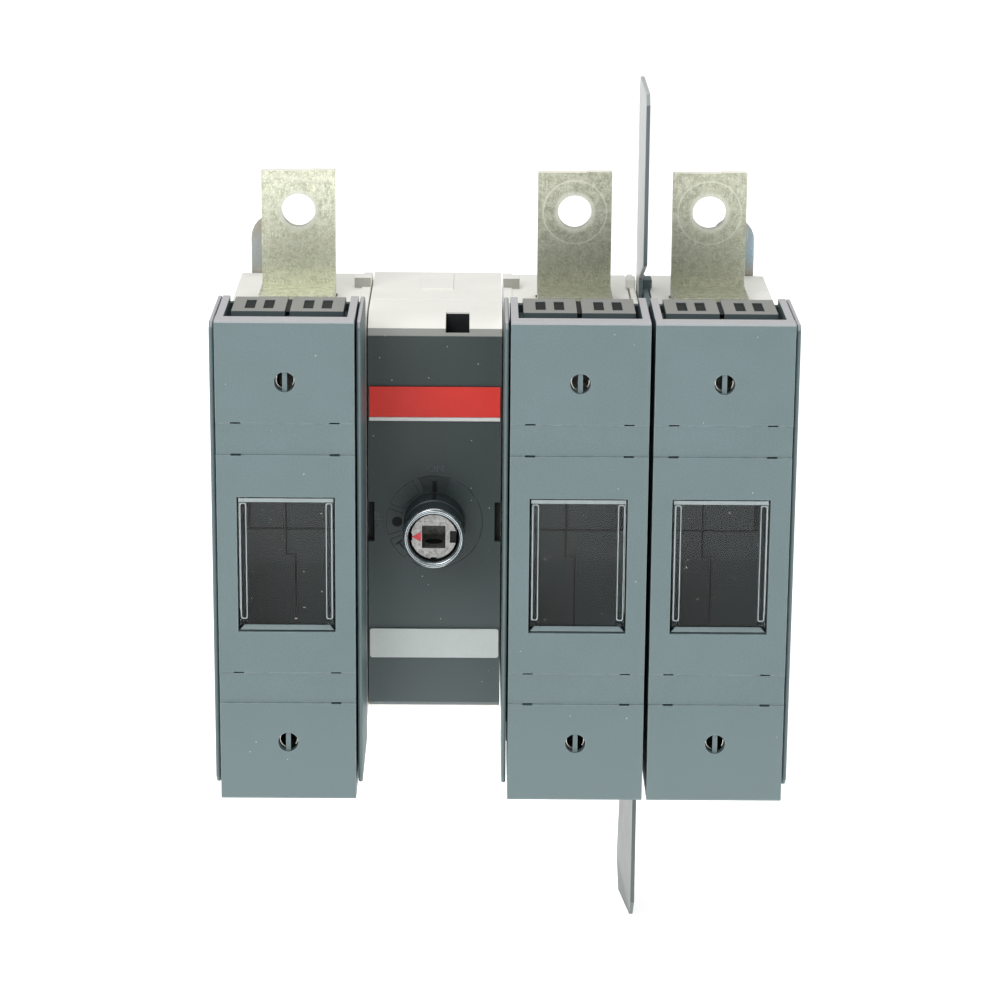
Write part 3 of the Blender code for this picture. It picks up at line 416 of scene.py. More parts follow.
def scratchGroup():
    # hairline scratches in three directions, broken up by a slow noise
    tree, given = startGroup("hairScratches", ("Mask",), Scale=120.0, Amount=0.5)
    coords = objectCoords(tree)
    most = None
    for turn, stretch in ((0.5, 14.0), (-0.9, 11.0), (2.2, 12.0)):
        along = addNode(tree, "ShaderNodeMapping", {
            "Vector": coords, "Rotation": (0.0, turn, 0.0), "Scale": (stretch, 1.0, 1.0)})
        lines = ramp(tree, noise(tree, along, given["Scale"], 2.0, Roughness=0.4), 0.63, 0.7)
        most = calc(tree, "MAXIMUM", most, lines) if most else lines
    gate = ramp(tree, noise(tree, coords, 90.0, 2.0), 0.48, 0.62)
    broken = calc(tree, "MULTIPLY", most, gate)
    return endGroup(tree, Mask=calc(tree, "MULTIPLY", broken, given["Amount"]))


def rubAndHighlightGroup():
    # where edges and corners are rubbed and carry a painted edge highlight: the rounded normal leaves the
    # flat one
    tree, given = startGroup("edgeRubAndHighlight", ("Mask",), Radius=0.4 * mm, Break=300.0)
    soft = addNode(tree, "ShaderNodeBevel", {"Radius": given["Radius"]}, samples=4)
    flat = addNode(tree, "ShaderNodeNewGeometry").outputs["Normal"]
    same = addNode(tree, "ShaderNodeVectorMath", {0: soft, 1: flat}, operation="DOT_PRODUCT")
    edge = ramp(tree, calc(tree, "SUBTRACT", 1.0, same.outputs["Value"]), 0.005, 0.16)
    gate = ramp(tree, noise(tree, objectCoords(tree), given["Break"], 3.0), 0.3, 0.6)
    return endGroup(tree, Mask=calc(tree, "MULTIPLY", edge, gate))


groups = {"grain": grainGroup(), "dust": dustGroup(), "scratch": scratchGroup(), "rubAndHighlight": rubAndHighlightGroup()}


def useGroup(tree, name, **values):
    return addNode(tree, "ShaderNodeGroup", values, node_tree=groups[name])


def mixColour(tree, factor, first, second):
    node = addNode(tree, "ShaderNodeMix", {0: factor}, data_type="RGBA")
    for at, value in ((6, first), (7, second)):
        plug(tree, (*value, 1.0) if isinstance(value, tuple) else value, node.inputs[at])
    return node.outputs[2]


def scaledBy(tree, value, amount, base=0.0):
    return calc(tree, "MULTIPLY_ADD", value, amount, base)


def facing(tree, axis, sign):
    # where a surface faces along one of its piece's own axes
    own = addNode(tree, "ShaderNodeTexCoord").outputs["Normal"]
    part = addNode(tree, "ShaderNodeSeparateXYZ", {"Vector": own}).outputs[axis]
    return ramp(tree, scaledBy(tree, part, sign), 0.5, 0.85)


def topFace(tree, above):
    # where a surface faces up, above a height: where the painted top light goes
    return calc(tree, "MULTIPLY", facing(tree, "Z", 1.0), ramp(tree, heightOf(tree), above, above + 0.5 * mm))


def blankMaterial(name):
    made = bpy.data.materials.new(name)
    made.use_nodes = True
    return made, made.node_tree, made.node_tree.nodes["Principled BSDF"]


def shade(colour, factor):
    return tuple(min(part * factor, 1.0) for part in colour)


def setSockets(shader, values):
    for key, value in values.items():
        shader.inputs[key].default_value = value


def finishSurface(tree, shader, grain, tone, roughness, bump, bumpDepth):
    # colour, roughness that drifts from one value to the other, and fine relief
    plug(tree, tone, shader.inputs["Base Color"])
    plug(tree, ramp(tree, grain.outputs["Tone"], *roughness, curve="LINEAR"), shader.inputs["Roughness"])
    relief = addNode(tree, "ShaderNodeBump", {
        "Strength": bump, "Distance": bumpDepth, "Height": grain.outputs["Height"]})
    plug(tree, relief, shader.inputs["Normal"])


def plastic(name, look):
    # moulded plastic: drifting tone, mould grain, pale dust, rubbed edges with a painted edge highlight, and
    # where a look asks for it painted top light, painted front shade, painted shading towards the bottom and
    # a painted highlight band
    made, tree, shader = blankMaterial(name)
    colour, rough = look["colour"], look["roughness"]
    grain = useGroup(tree, "grain", Scale=1900.0, Drift=45.0)
    spread = look.get("spread", 0.05)
    tone = mixColour(tree, ramp(tree, grain.outputs["Tone"], 0.3, 0.7),
                     shade(colour, 1 - spread), shade(colour, 1 + spread))
    fineTone = ramp(tree, grain.outputs["Height"], 0.32, 0.68)
    tone = mixColour(tree, scaledBy(tree, fineTone, look.get("speckle", 0.1)), tone, shade(colour, 2.0))
    # painted top light: faces turned up, above a height, are painted lighter
    if "topLightColour" in look:
        tone = mixColour(tree, topFace(tree, look["topAbove"]), tone, look["topLightColour"])
    # painted shade: faces turned to the front are painted darker
    if "frontShadeColour" in look:
        tone = mixColour(tree, facing(tree, "Y", -1.0), tone, look["frontShadeColour"])
    # painted shading towards the bottom: light from below on covers and panel, shade on the barriers
    if "lowShadingColour" in look:
        tone = mixColour(tree, ramp(tree, heightOf(tree), *look["lowShadingBand"]), look["lowShadingColour"], tone)
    # painted highlight along a thin band of heights
    if "highlightColour" in look:
        tone = mixColour(tree, ramp(tree, heightOf(tree), *look["highlightBand"]), tone, look["highlightColour"])
    # rubbed edges, partly painted edge highlight
    rubAndHighlight = useGroup(tree, "rubAndHighlight", Radius=0.35 * mm)
    tone = mixColour(tree, scaledBy(tree, rubAndHighlight, look.get("rubAndHighlight", 0.35)), tone,
                     look.get("rubAndHighlightColour", shade(colour, 1.9)))
    dust = useGroup(tree, "dust", Scale=620.0, Share=look.get("dust", 0.015), Size=0.09)
    tone = mixColour(tree, scaledBy(tree, dust, 0.6), tone, (0.75, 0.74, 0.7))
    finishSurface(tree, shader, grain, tone, (0.25, 0.75, rough - 0.05, rough + 0.06),
                  look.get("bump", 0.12), 0.05 * mm)
    setSockets(shader, {"Specular IOR Level": look.get("specular", 0.5), "Alpha": look.get("alpha", 1.0)})
    return made


def metal(name, look):
    # bare or plated metal: mottled plating, scratches, bright rubbed edges with a painted edge highlight, and
    # where a look asks for it a painted reflection on faces turned up
    made, tree, shader = blankMaterial(name)
    colour, rough = look["colour"], look["roughness"]
    grain = useGroup(tree, "grain", Scale=look.get("grainScale", 1500.0), Drift=look.get("drift", 120.0))
    tone = mixColour(tree, ramp(tree, grain.outputs["Tone"], 0.35, 0.65),
                     look.get("dark", shade(colour, 0.8)), look.get("light", shade(colour, 1.15)))
    speckle = ramp(tree, grain.outputs["Height"], *look.get("speckleBand", (0.42, 0.62)))
    tone = mixColour(tree, scaledBy(tree, speckle, look.get("speckle", 0.3)), tone, shade(colour, 1.5))
    scratches = useGroup(tree, "scratch", Scale=look.get("scratchScale", 120.0),
                         Amount=look.get("scratch", 0.5))
    tone = mixColour(tree, scratches, tone, shade(colour, 1.7))
    # rubbed edges, partly painted edge highlight
    rubAndHighlight = useGroup(tree, "rubAndHighlight", Radius=0.3 * mm)
    tone = mixColour(tree, scaledBy(tree, rubAndHighlight, look.get("rubAndHighlight", 0.5)), tone, shade(colour, 1.8))
    setSockets(shader, {"Metallic": look.get("metallic", 1.0)})
    # painted reflection: faces turned up take a pale colour and lose metal
    if "topLightColour" in look:
        top = topFace(tree, look["topAbove"])
        tone = mixColour(tree, top, tone, look["topLightColour"])
        plug(tree, scaledBy(tree, top, -look["metallic"], look["metallic"]), shader.inputs["Metallic"])
    if "imprint" in look:
        tone = imprinted(tree, tone, look)
    finishSurface(tree, shader, grain, tone, (0.3, 0.7, rough + 0.08, rough - 0.06),
                  look.get("bump", 0.25), 0.04 * mm)
    return made


def imprinted(tree, under, look):
    # a washer's bright ring round a bolt hole, read from the piece's own face map
    place = addNode(tree, "ShaderNodeUVMap", uv_map="faceMap")
    reach = addNode(tree, "ShaderNodeVectorMath", {0: place}, operation="LENGTH").outputs["Value"]
    inner, outer = look["imprint"]
    rise = ramp(tree, reach, outer - 0.25 * mm, outer)
    fall = ramp(tree, reach, outer, outer + 0.5 * mm, 1.0, 0.0, "LINEAR")
    inside = ramp(tree, reach, inner, inner + 0.9 * mm, 0.7, 0.0, "LINEAR")
    line = scaledBy(tree, calc(tree, "MULTIPLY", rise, fall), 0.6)
    return mixColour(tree, calc(tree, "ADD", line, inside), under, look["imprintColour"])


plasticLooks = {
    # coverGrey: top faces painted lighter (painted top light), lower part painted lighter (painted light from
    # below)
    "coverGrey": {"colour": (0.104, 0.149, 0.156), "topAbove": 0.0605, "topLightColour": (0.46, 0.455, 0.47),
                  "lowShadingColour": (0.12, 0.168, 0.174), "lowShadingBand": (-0.062, -0.03), "roughness": 0.5,
                  "rubAndHighlight": 0.5, "rubAndHighlightColour": (0.36, 0.42, 0.42), "spread": 0.045, "dust": 0.03},
    "sillGrey": {"colour": (0.15, 0.195, 0.205), "roughness": 0.4, "dust": 0.02},
    # paneEdge: pale lines on the pane's ribs and bevel, painted highlight
    "paneEdge": {"colour": (0.36, 0.42, 0.43), "roughness": 0.35, "alpha": 0.6, "spread": 0.1},
    # ventGrey: top faces painted lighter (painted top light)
    "ventGrey": {"colour": (0.055, 0.078, 0.085), "topLightColour": (0.26, 0.258, 0.245), "topAbove": 0.055,
                 "rubAndHighlightColour": (0.3, 0.32, 0.32), "roughness": 0.5, "spread": 0.06},
    "compartmentCharcoal": {"colour": (0.032, 0.044, 0.044), "roughness": 0.45, "spread": 0.1, "dust": 0.03},
    "floorCharcoal": {"colour": (0.021, 0.04, 0.039), "roughness": 0.5, "speckle": 0.04, "spread": 0.08,
                      "dust": 0.05},
    # panelCharcoal: painted lighter towards the bottom (painted light from below) and on a thin band at the
    # top chamfer (painted highlight)
    "panelCharcoal": {"colour": (0.032, 0.046, 0.046), "lowShadingColour": (0.082, 0.108, 0.108),
                      "lowShadingBand": (-0.05, 0.012), "highlightColour": (0.24, 0.25, 0.23),
                      "highlightBand": (0.0503, 0.0506), "rubAndHighlight": 0.45, "rubAndHighlightColour": (0.2, 0.23, 0.24),
                      "roughness": 0.45, "specular": 0.4, "spread": 0.07, "dust": 0.05, "speckle": 0.16,
                      "bump": 0.2},
    "dialCharcoal": {"colour": (0.02, 0.028, 0.029), "roughness": 0.5, "spread": 0.08, "specular": 0.4},
    "collarCharcoal": {"colour": (0.025, 0.035, 0.037), "roughness": 0.4, "spread": 0.1},
    # black for printed and moulded marks and seams, and for the dark sheets of painted shade in vents, slots,
    # the shaft notch and the screw hole
    "markAndShadeBlack": {"colour": (0.01, 0.012, 0.013), "roughness": 0.6, "spread": 0.2, "dust": 0.0,
                  "specular": 0.2},
    "baseCream": {"colour": (0.82, 0.815, 0.765), "rubAndHighlight": 0.2, "rubAndHighlightColour": (0.92, 0.92, 0.89),
                  "roughness": 0.5, "speckle": 0.03, "spread": 0.025, "dust": 0.01},
    # the base cream again, with its front faces painted darker (painted shade)
    "frontShadedCream": {"colour": (0.82, 0.815, 0.765), "frontShadeColour": (0.34, 0.335, 0.3), "rubAndHighlight": 0.15,
                    "rubAndHighlightColour": (0.92, 0.92, 0.89), "roughness": 0.5, "spread": 0.025, "dust": 0.01},
    "rotorResin": {"colour": (0.12, 0.08, 0.05), "roughness": 0.6, "spread": 0.12},
    # barrierSheet: painted darker towards the bottom and on faces turned to the front (painted shade)
    "barrierSheet": {"colour": (0.42, 0.45, 0.44), "lowShadingColour": (0.105, 0.126, 0.124),
                     "lowShadingBand": (-0.075, -0.06), "frontShadeColour": (0.085, 0.11, 0.12), "rubAndHighlight": 0.2,
                     "rubAndHighlightColour": (0.5, 0.53, 0.53), "roughness": 0.33},
    "stripRed": {"colour": (0.72, 0.035, 0.025), "rubAndHighlight": 0.3, "rubAndHighlightColour": (0.8, 0.2, 0.16),
                 "roughness": 0.45, "specular": 0.3, "speckle": 0.03, "bump": 0.05, "dust": 0.01},
    "stripWhite": {"colour": (0.66, 0.67, 0.66), "roughness": 0.35, "spread": 0.03, "bump": 0.05},
    "labelLight": {"colour": (0.57, 0.62, 0.595), "roughness": 0.4, "speckle": 0.05, "spread": 0.04,
                   "bump": 0.05, "dust": 0.01},
    "arrowRed": {"colour": (0.5, 0.04, 0.055), "roughness": 0.45, "specular": 0.3, "spread": 0.1},
    "lintPale": {"colour": (0.6, 0.58, 0.52), "roughness": 0.8, "spread": 0.3, "dust": 0.0, "rubAndHighlight": 0.0},
}
metalLooks = {
    # platedOlive: the lug's upturned bend painted cream (painted reflection)
    "platedOlive": {"colour": (0.55, 0.57, 0.45), "dark": (0.475, 0.49, 0.375), "light": (0.69, 0.7, 0.56),
                    "roughness": 0.38, "speckle": 0.85, "speckleBand": (0.48, 0.66), "drift": 500.0,
                    "grainScale": 1900.0, "scratchScale": 300.0, "metallic": 0.8, "bump": 0.8,
                    "topAbove": 0.086, "topLightColour": (0.9, 0.88, 0.78),
                    "imprint": (5.0 * mm, 8.4 * mm), "imprintColour": (0.72, 0.74, 0.64)},
    "railZinc": {"colour": (0.36, 0.42, 0.44), "dark": (0.42, 0.37, 0.29), "light": (0.27, 0.37, 0.44),
                 "roughness": 0.3, "speckle": 0.15, "drift": 60.0},
    "silvered": {"colour": (0.62, 0.61, 0.57), "roughness": 0.3, "speckle": 0.15},
    "castAlloy": {"colour": (0.235, 0.235, 0.228), "roughness": 0.42, "speckle": 0.9, "drift": 700.0,
                  "bump": 0.9, "metallic": 0.8},
    "ringChrome": {"colour": (0.4, 0.44, 0.455), "roughness": 0.24, "speckle": 0.0, "scratch": 0.0,
                   "bump": 0.0, "rubAndHighlight": 0.0},
    "springSteel": {"colour": (0.4, 0.4, 0.4), "roughness": 0.35},
}
# darker copies of the lug plating for poles 2 and 3: painted shade
for number, shadeFactor in ((2, 0.69), (3, 0.76)):
    look = dict(metalLooks["platedOlive"])
    look.update({key: shade(look[key], shadeFactor) for key in ("colour", "dark", "light")})
    metalLooks[f"platedOlive{number}"] = look
slotFinishes = {
    "cover_grey": ("coverGrey", "sillGrey", "ventGrey"),
    "compartment_charcoal": ("compartmentCharcoal", "floorCharcoal", "panelCharcoal", "dialCharcoal",
                             "collarCharcoal", "markAndShadeBlack"),
    "base_cream": ("baseCream", "frontShadedCream", "lintPale"),
    "window_clear": ("windowClear", "paneEdge"),
    "plated_metal": ("platedOlive", "platedOlive2", "platedOlive3"),
    "rail_steel": ("railZinc",),
    "silvered_contact": ("silvered",),
    "cast_alloy": ("castAlloy",),
    "ring_chrome": ("ringChrome",),
    "spring_steel": ("springSteel",),
    "barrier_sheet": ("barrierSheet",),
    "strip_red": ("stripRed", "arrowRed"),
    "strip_light": ("stripWhite", "labelLight"),
}
finishSlot = {finish: slotName for slotName, finishes in slotFinishes.items() for finish in finishes}


def clearPane():
    # clear polycarbonate; light on its way to the compartment passes straight through
    made, tree, shader = blankMaterial("windowClear")
    setSockets(shader, {"Base Color": (0.93, 0.955, 0.955, 1.0), "Transmission Weight": 1.0, "IOR": 1.22})
    scratches = useGroup(tree, "scratch", Scale=60.0, Amount=0.12)
    grain = useGroup(tree, "grain", Drift=70.0)
    haze = scaledBy(tree, ramp(tree, grain.outputs["Tone"], 0.45, 0.8), 0.03, 0.005)
    plug(tree, calc(tree, "ADD", haze, scratches), shader.inputs["Roughness"])
    path = addNode(tree, "ShaderNodeLightPath").outputs
    passing = calc(tree, "MAXIMUM", path["Is Shadow Ray"], path["Is Diffuse Ray"])
    through = addNode(tree, "ShaderNodeBsdfTransparent", {"Color": (0.86, 0.88, 0.88, 1.0)})
    either = addNode(tree, "ShaderNodeMixShader", {0: passing, 1: shader, 2: through})
    plug(tree, either, tree.nodes["Material Output"].inputs["Surface"])
    return made


paint = {name: plastic(name, look) for name, look in plasticLooks.items()}
paint.update({name: metal(name, look) for name, look in metalLooks.items()})
paint["windowClear"] = clearPane()
print("finishes made:", len(paint))

trees = {"slots": slotTree(), "coins": coinTree(), "flecks": fleckTree(), "coil": coilTree()}


# fuse covers, windows and what shows through them

coverLook = {"edge": 0.28 * mm, "slotWidth": 2.6 * mm, "slotHeight": 0.5 * mm, "slotReach": 1.6 * mm,
             "slotInset": 5.0 * mm, "sill": 1.35 * mm, "sillMitre": 1.1 * mm, "sillSide": 0.1 * mm,
             "sillGap": 0.2 * mm, "sillDeep": 1.1 * mm, "sillLip": 0.3 * mm, "sillEdge": 0.08 * mm,
             "paneBevel": 0.9 * mm, "paneEdge": 0.14 * mm, "near": 0.1 * mm, "fleckDensity": 60000.0,
             "fleckSize": 0.13 * mm, "fleckInset": 2.6 * mm, "fleckLift": 0.012 * mm}
stepLow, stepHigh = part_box("red_strip")[0].z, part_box("red_strip")[1].z


def slotPlaces(number):
    low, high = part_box(f"fuse_cover_{number}")
    places = []
    for height in (stepHigh, stepLow, -stepLow, -stepHigh):
        for side in (-1, 1):
            if (number, height, side) == (1, -stepHigh, -1):
                continue  # this one is moulded shut
            x = poleCentre[number] + side * ((high.x - low.x) / 2 - coverLook["slotInset"])
            places.append((x, low.y, height))
    return places


def makeCover(number):
    values = {"Width": coverLook["slotWidth"], "Depth": 2 * coverLook["slotReach"],
              "Height": coverLook["slotHeight"]}
    cutter = grownBy(trees["slots"], "slotCutter", pointMesh("slotPlaces", slotPlaces(number)), values)
    fine(f"fuse_cover_{number}", "coverGrey", coverLook["edge"], f"cover_{number}", [cutter])


def makeWindow(number):
    node = f"cover_window_{number}"
    low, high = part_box(node)
    near = coverLook["near"]
    bm = cleanCopy(node)
    for vert in bm.verts:
        if vert.co.z < low.z + near:
            vert.co.z += coverLook["sill"]
    top = [edge for edge in bm.edges
           if all(vert.co.z > high.z - near and vert.co.y < low.y + near for vert in edge.verts)]
    bmesh.ops.bevel(bm, geom=top, offset=coverLook["paneBevel"], segments=1, affect="EDGES")
    pane = roundEdges(addObject(f"window_pane_{number}", meshFrom(bm, node)), coverLook["paneEdge"])
    settle(pane, "windowClear", f"cover_{number}", (node,))


def makeSill(number):
    # the sloped, mitred ledge under the pane
    low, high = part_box(f"cover_window_{number}")
    look = coverLook
    wide = (high.x - low.x) / 2 - look["sillSide"]
    narrow = wide - look["sillMitre"]
    top, back = low.z + look["sill"] - look["sillGap"], low.y + look["sillDeep"]
    corners = ((wide, low.y, low.z), (narrow, back - look["sillLip"], top), (narrow, back, top),
               (wide, back, low.z))
    rings = [[(poleCentre[number] + side * half, y, z) for half, y, z in corners] for side in (-1, 1)]
    sill = roundEdges(lofted(f"window_sill_{number}", rings), look["sillEdge"])
    settle(sill, "sillGrey", f"cover_{number}")


glintLook = {"height": 47.6 * mm, "outer": 2.5 * mm, "inner": 2.1 * mm, "arcs": ((150, 262), (322, 372)),
             "sunk": 2.6 * mm, "thick": 0.5 * mm, "edge": 0.1 * mm, "steps": 14}


def makeGlints(number):
    # the sprung test contacts just behind the probe holes
    look = glintLook
    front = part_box(f"fuse_cover_{number}")[0].y + look["sunk"]
    made = []
    for z in (look["height"], -look["height"]):
        centre = (poleCentre[number], z)
        for arc in look["arcs"]:
            first, last = (math.radians(turn) for turn in arc)
            outline = arcPoints(look["outer"], first, last, look["steps"], centre)
            outline += arcPoints(look["inner"], last, first, look["steps"], centre)
            made.append(slab("glint", outline, front, front + look["thick"]))
    glints = roundEdges(joined(f"test_contacts_{number}", made), look["edge"])
    settle(glints, "silvered", f"cover_{number}")


def makeFlecks(number):
    # dust and lint caught on the pane
    low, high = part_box(f"cover_window_{number}")
    inset, y = coverLook["fleckInset"], low.y - coverLook["fleckLift"]
    left, right, bottom, top = low.x + inset, high.x - inset, low.z + inset, high.z - inset
    face = bpy.data.meshes.new("fleckFace")
    face.from_pydata([(left, y, bottom), (right, y, bottom), (right, y, top), (left, y, top)], [],
                     [(0, 1, 2, 3)])
    values = {"Density": coverLook["fleckDensity"], "Size": coverLook["fleckSize"], "Seed": 11 * number,
              "Material": paint["lintPale"]}
    settle(grownBy(trees["flecks"], f"pane_dust_{number}", face, values), "lintPale", f"cover_{number}")


edgeLook = {"ribWidth": 1.7 * mm, "inset": 0.35 * mm, "top": 1.3 * mm, "bottom": 2.9 * mm, "line": 0.24 * mm,
            "bright": 0.36 * mm, "barTop": 0.12 * mm, "barHeight": 0.95 * mm, "barSide": 0.1 * mm,
            "round": 0.5 * mm, "lift": 0.03 * mm, "sunk": 0.1 * mm, "stripLift": 0.02 * mm}


def roundedLoop(left, right, bottom, top, radius, steps):
    loop = []
    for x, z, start in ((right - radius, top - radius, 0), (left + radius, top - radius, 90),
                        (left + radius, bottom + radius, 180), (right - radius, bottom + radius, 270)):
        loop += arcPoints(radius, math.radians(start), math.radians(start + 90), steps, (x, z))
    return loop


def makePaneEdges(number):
    # the light caught by the pane's moulded ribs and its upper bevel
    low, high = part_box(f"cover_window_{number}")
    look = edgeLook
    x, half = poleCentre[number], (high.x - low.x) / 2
    front, back = low.y - look["lift"], low.y + look["sunk"]
    outer = half - look["inset"]
    bottom, top = low.z + look["bottom"], high.z - look["top"]
    lit = 1 if number == 1 else -1  # the side turned to the light
    made = []
    for side in (-1, 1):
        left, right = sorted((side * outer, side * (outer - look["ribWidth"])))
        loops = [roundedLoop(x + left + inset, x + right - inset, bottom + inset, top - inset,
                             look["round"], 4) for inset in (0.0, look["line"])]
        made.append(bandSlab("rib", *loops, front, back))
        if side == lit:
            left, right = sorted((side * outer, side * (outer - look["bright"])))
            made.append(block("strip", (x + left, front - look["stripLift"], bottom + look["round"]),
                              (x + right, back, top - look["round"])))
    barTop = high.z - look["barTop"]
    made.append(block("bar", (low.x + look["barSide"], front, barTop - look["barHeight"]),
                      (high.x - look["barSide"], back, barTop)))
    settle(smoothed(joined(f"window_edges_{number}", made)), "paneEdge", f"cover_{number}")


floorLook = {"thickness": 0.9 * mm, "seam": 0.6 * mm, "seamX": -2.1 * mm, "jog": 2.4 * mm,
             "seamZ": -0.4 * mm, "jogZ": -7.6 * mm, "wellX": 11.3 * mm, "reach": 28.0 * mm,
             "half": 12.9 * mm, "sunk": 2.5 * mm, "lift": 0.05 * mm, "edge": 0.1 * mm,
             "dark": (0.01 * mm, 0.04 * mm)}


def makeFloor(number):
    # the insulating floor between the fuse jaws, in plates that meet at narrow seams
    look = floorLook
    x, deck = poleCentre[number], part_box(f"pole_base_{number}")[0].y - look["sunk"]
    front, back = deck - look["thickness"], deck - look["lift"]
    gap, half, reach = look["seam"] / 2, look["half"], look["reach"]
    upper, jog = look["seamZ"], look["jogZ"]
    plates = []
    for left, right in ((-look["wellX"], look["seamX"] - gap), (look["seamX"] + gap, look["wellX"])):
        plates.append([(left, upper + gap), (right, upper + gap), (right, reach), (left, reach)])
    a, b = look["seamX"], look["seamX"] + look["jog"]
    plates.append([(-half, -reach), (b - gap, -reach), (b - gap, jog - gap), (a - gap, jog - gap),
                   (a - gap, upper - gap), (-half, upper - gap)])
    plates.append([(b + gap, -reach), (half, -reach), (half, upper - gap), (a + gap, upper - gap),
                   (a + gap, jog + gap), (b + gap, jog + gap)])
    made = [slab("plate", [(x + px, pz) for px, pz in outline], front, back) for outline in plates]
    settle(roundEdges(joined(f"compartment_floor_{number}", made), look["edge"], 1), "floorCharcoal")
    near, far = look["dark"]
    dark = block(f"compartment_seams_{number}", (x - half, back + near, -reach),
                 (x + half, back + far, reach))
    settle(smoothed(dark), "markAndShadeBlack")


for number in poles:
    makeCover(number)
    makeWindow(number)
    makePaneEdges(number)
    makeSill(number)
    makeGlints(number)
    makeFlecks(number)
    makeFloor(number)
print("covers, windows and floors made")


# poles: bases, decks, vents, plates, terminals, jaws

poleLook = {"baseEdge": 0.4 * mm, "housingEdge": 0.25 * mm, "ventEdge": 0.3 * mm, "plateEdge": 0.4 * mm,
            "lugEdge": 0.12 * mm, "jawEdge": 0.2 * mm, "railEdge": 0.35 * mm, "barrierEdge": 0.25 * mm,
            "shear": 0.22 * mm, "shearShare": 0.34, "holeDown": 10.9 * mm, "ejector": 2.0 * mm,
            "ejectorDepth": 0.4 * mm, "ventInset": 1.2 * mm, "ventDeep": 0.45 * mm, "ventSheet": 0.05 * mm}


def ejectorMarks(node):
    low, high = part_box(node)
    spots = []
    for row in (-0.75, -0.25, 0.25, 0.75):
        for side in (-0.55, 0.55):
            spots.append(((low.x + high.x) / 2 + side * (high.x - low.x) / 2, high.y, row * high.z))
    values = {"Radius": poleLook["ejector"], "Depth": 2 * poleLook["ejectorDepth"]}
    return grownBy(trees["coins"], "ejectorCutter", pointMesh("ejectorSpots", spots), values)


def makeTerminal(number, end):
    node = f"terminal_{end}_{number}"
    low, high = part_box(node)
    sign, tip = (1, high.z) if end == "top" else (-1, low.z)
    shear = poleLook["shear"]
    bottom, top = sorted((tip - shear, tip + shear))
    right = high.x - poleLook["shearShare"] * (high.x - low.x)
    lug = carve(nodeCopy(node), [block("shear", (low.x - shear, low.y - shear, bottom),
                                       (right, high.y + shear, top))])
    roundEdges(lug, poleLook["lugEdge"])
    faceMap(lug, (poleCentre[number], tip - sign * poleLook["holeDown"]))
    plating = "platedOlive" if number == 1 else f"platedOlive{number}"
    settle(lug, plating, replaced=(node,))


def ventShadeSheet(node):
    # painted shade: a thin dark sheet inside the vent stands for the shaded chamber under the slots
    low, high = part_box(node)
    inset, deep, half = poleLook["ventInset"], poleLook["ventDeep"], poleLook["ventSheet"]
    z = high.z - deep if high.z > 0 else low.z + deep
    sheet = block(f"{node}_dark", (low.x + inset, low.y + inset, z - half),
                  (high.x - inset, high.y - inset, z + half))
    settle(smoothed(sheet), "markAndShadeBlack")


for number in poles:
    base = f"pole_base_{number}"
    # pole bases in the cream whose front faces carry painted shade
    fine(base, "frontShadedCream", poleLook["baseEdge"], cutters=[ejectorMarks(base)])
    fine(f"pole_housing_{number}", "compartmentCharcoal", poleLook["housingEdge"])
    for end in ("top", "bottom"):
        fine(f"arc_vent_{end}_{number}", "ventGrey", poleLook["ventEdge"])
        ventShadeSheet(f"arc_vent_{end}_{number}")
        fine(f"fuse_jaw_{end}_{number}", "silvered", poleLook["jawEdge"])
        makeTerminal(number, end)
for name in ("side_plate_1_left", "side_plate_1_right", "side_plate_2_left", "side_plate_3_right",
             "guide_plate_3"):
    fine(name, "coverGrey", poleLook["plateEdge"])
fine("guide_plate_2", "baseCream", poleLook["plateEdge"])
for side in ("left", "right"):
    fine(f"mounting_rail_{side}", "railZinc", poleLook["railEdge"])
for end in ("top", "bottom"):
    fine(f"phase_barrier_{end}", "barrierSheet", poleLook["barrierEdge"])
print("poles made")


# operating mechanism: case, panel, strips, dial

panelLow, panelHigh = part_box("mechanism_front")
panelFace = panelLow.y
dialLook = {"inner": 8.6 * mm, "outer": 12.9 * mm, "line": 0.34 * mm, "deep": 0.25 * mm, "proud": 1.0 * mm,
            "sectors": {"on": (70, 110), "between": (116, 158), "off": (163, 197), "test": (202, 232)},
            "field": (64.0, -118.0), "fieldTrim": 0.3, "trim": 0.03 * mm, "inlay": (0.04 * mm, 0.27 * mm)}


def sectorLoop(first, last, inset):
    inner, outer = dialLook["inner"] + inset, dialLook["outer"] - inset
    a, b = math.radians(first), math.radians(last)
    steps = max(int(abs(last - first) / 3), 6)
    outerTrim, innerTrim = inset / outer, inset / inner
    loop = arcPoints(outer, a + outerTrim, b - outerTrim, steps)
    return loop + arcPoints(inner, b - innerTrim, a + innerTrim, steps)


def dialRings(name, yFront, yBack, trim=0.0, fieldTrim=0.0):
    # the outline of every sector and the long arc of the plain field
    look = dialLook
    made = []
    for first, last in look["sectors"].values():
        made.append(bandSlab("ring", sectorLoop(first, last, trim),
                             sectorLoop(first, last, look["line"] - trim), yFront, yBack))
    start, end = look["field"]
    start, end = math.radians(start - fieldTrim), math.radians(end + fieldTrim)
    sweep = arcPoints(look["outer"] - trim, start, end, 60)
    sweep += arcPoints(look["outer"] - look["line"] + trim, end, start, 60)
    made.append(slab("sweep", sweep, yFront, yBack))
    return joined(name, made)


slotShade = {"width": 1.7 * mm, "reach": 5.6 * mm, "side": 0.04 * mm, "near": 0.05 * mm, "far": 0.45 * mm,
             "panelEdge": 0.3 * mm}


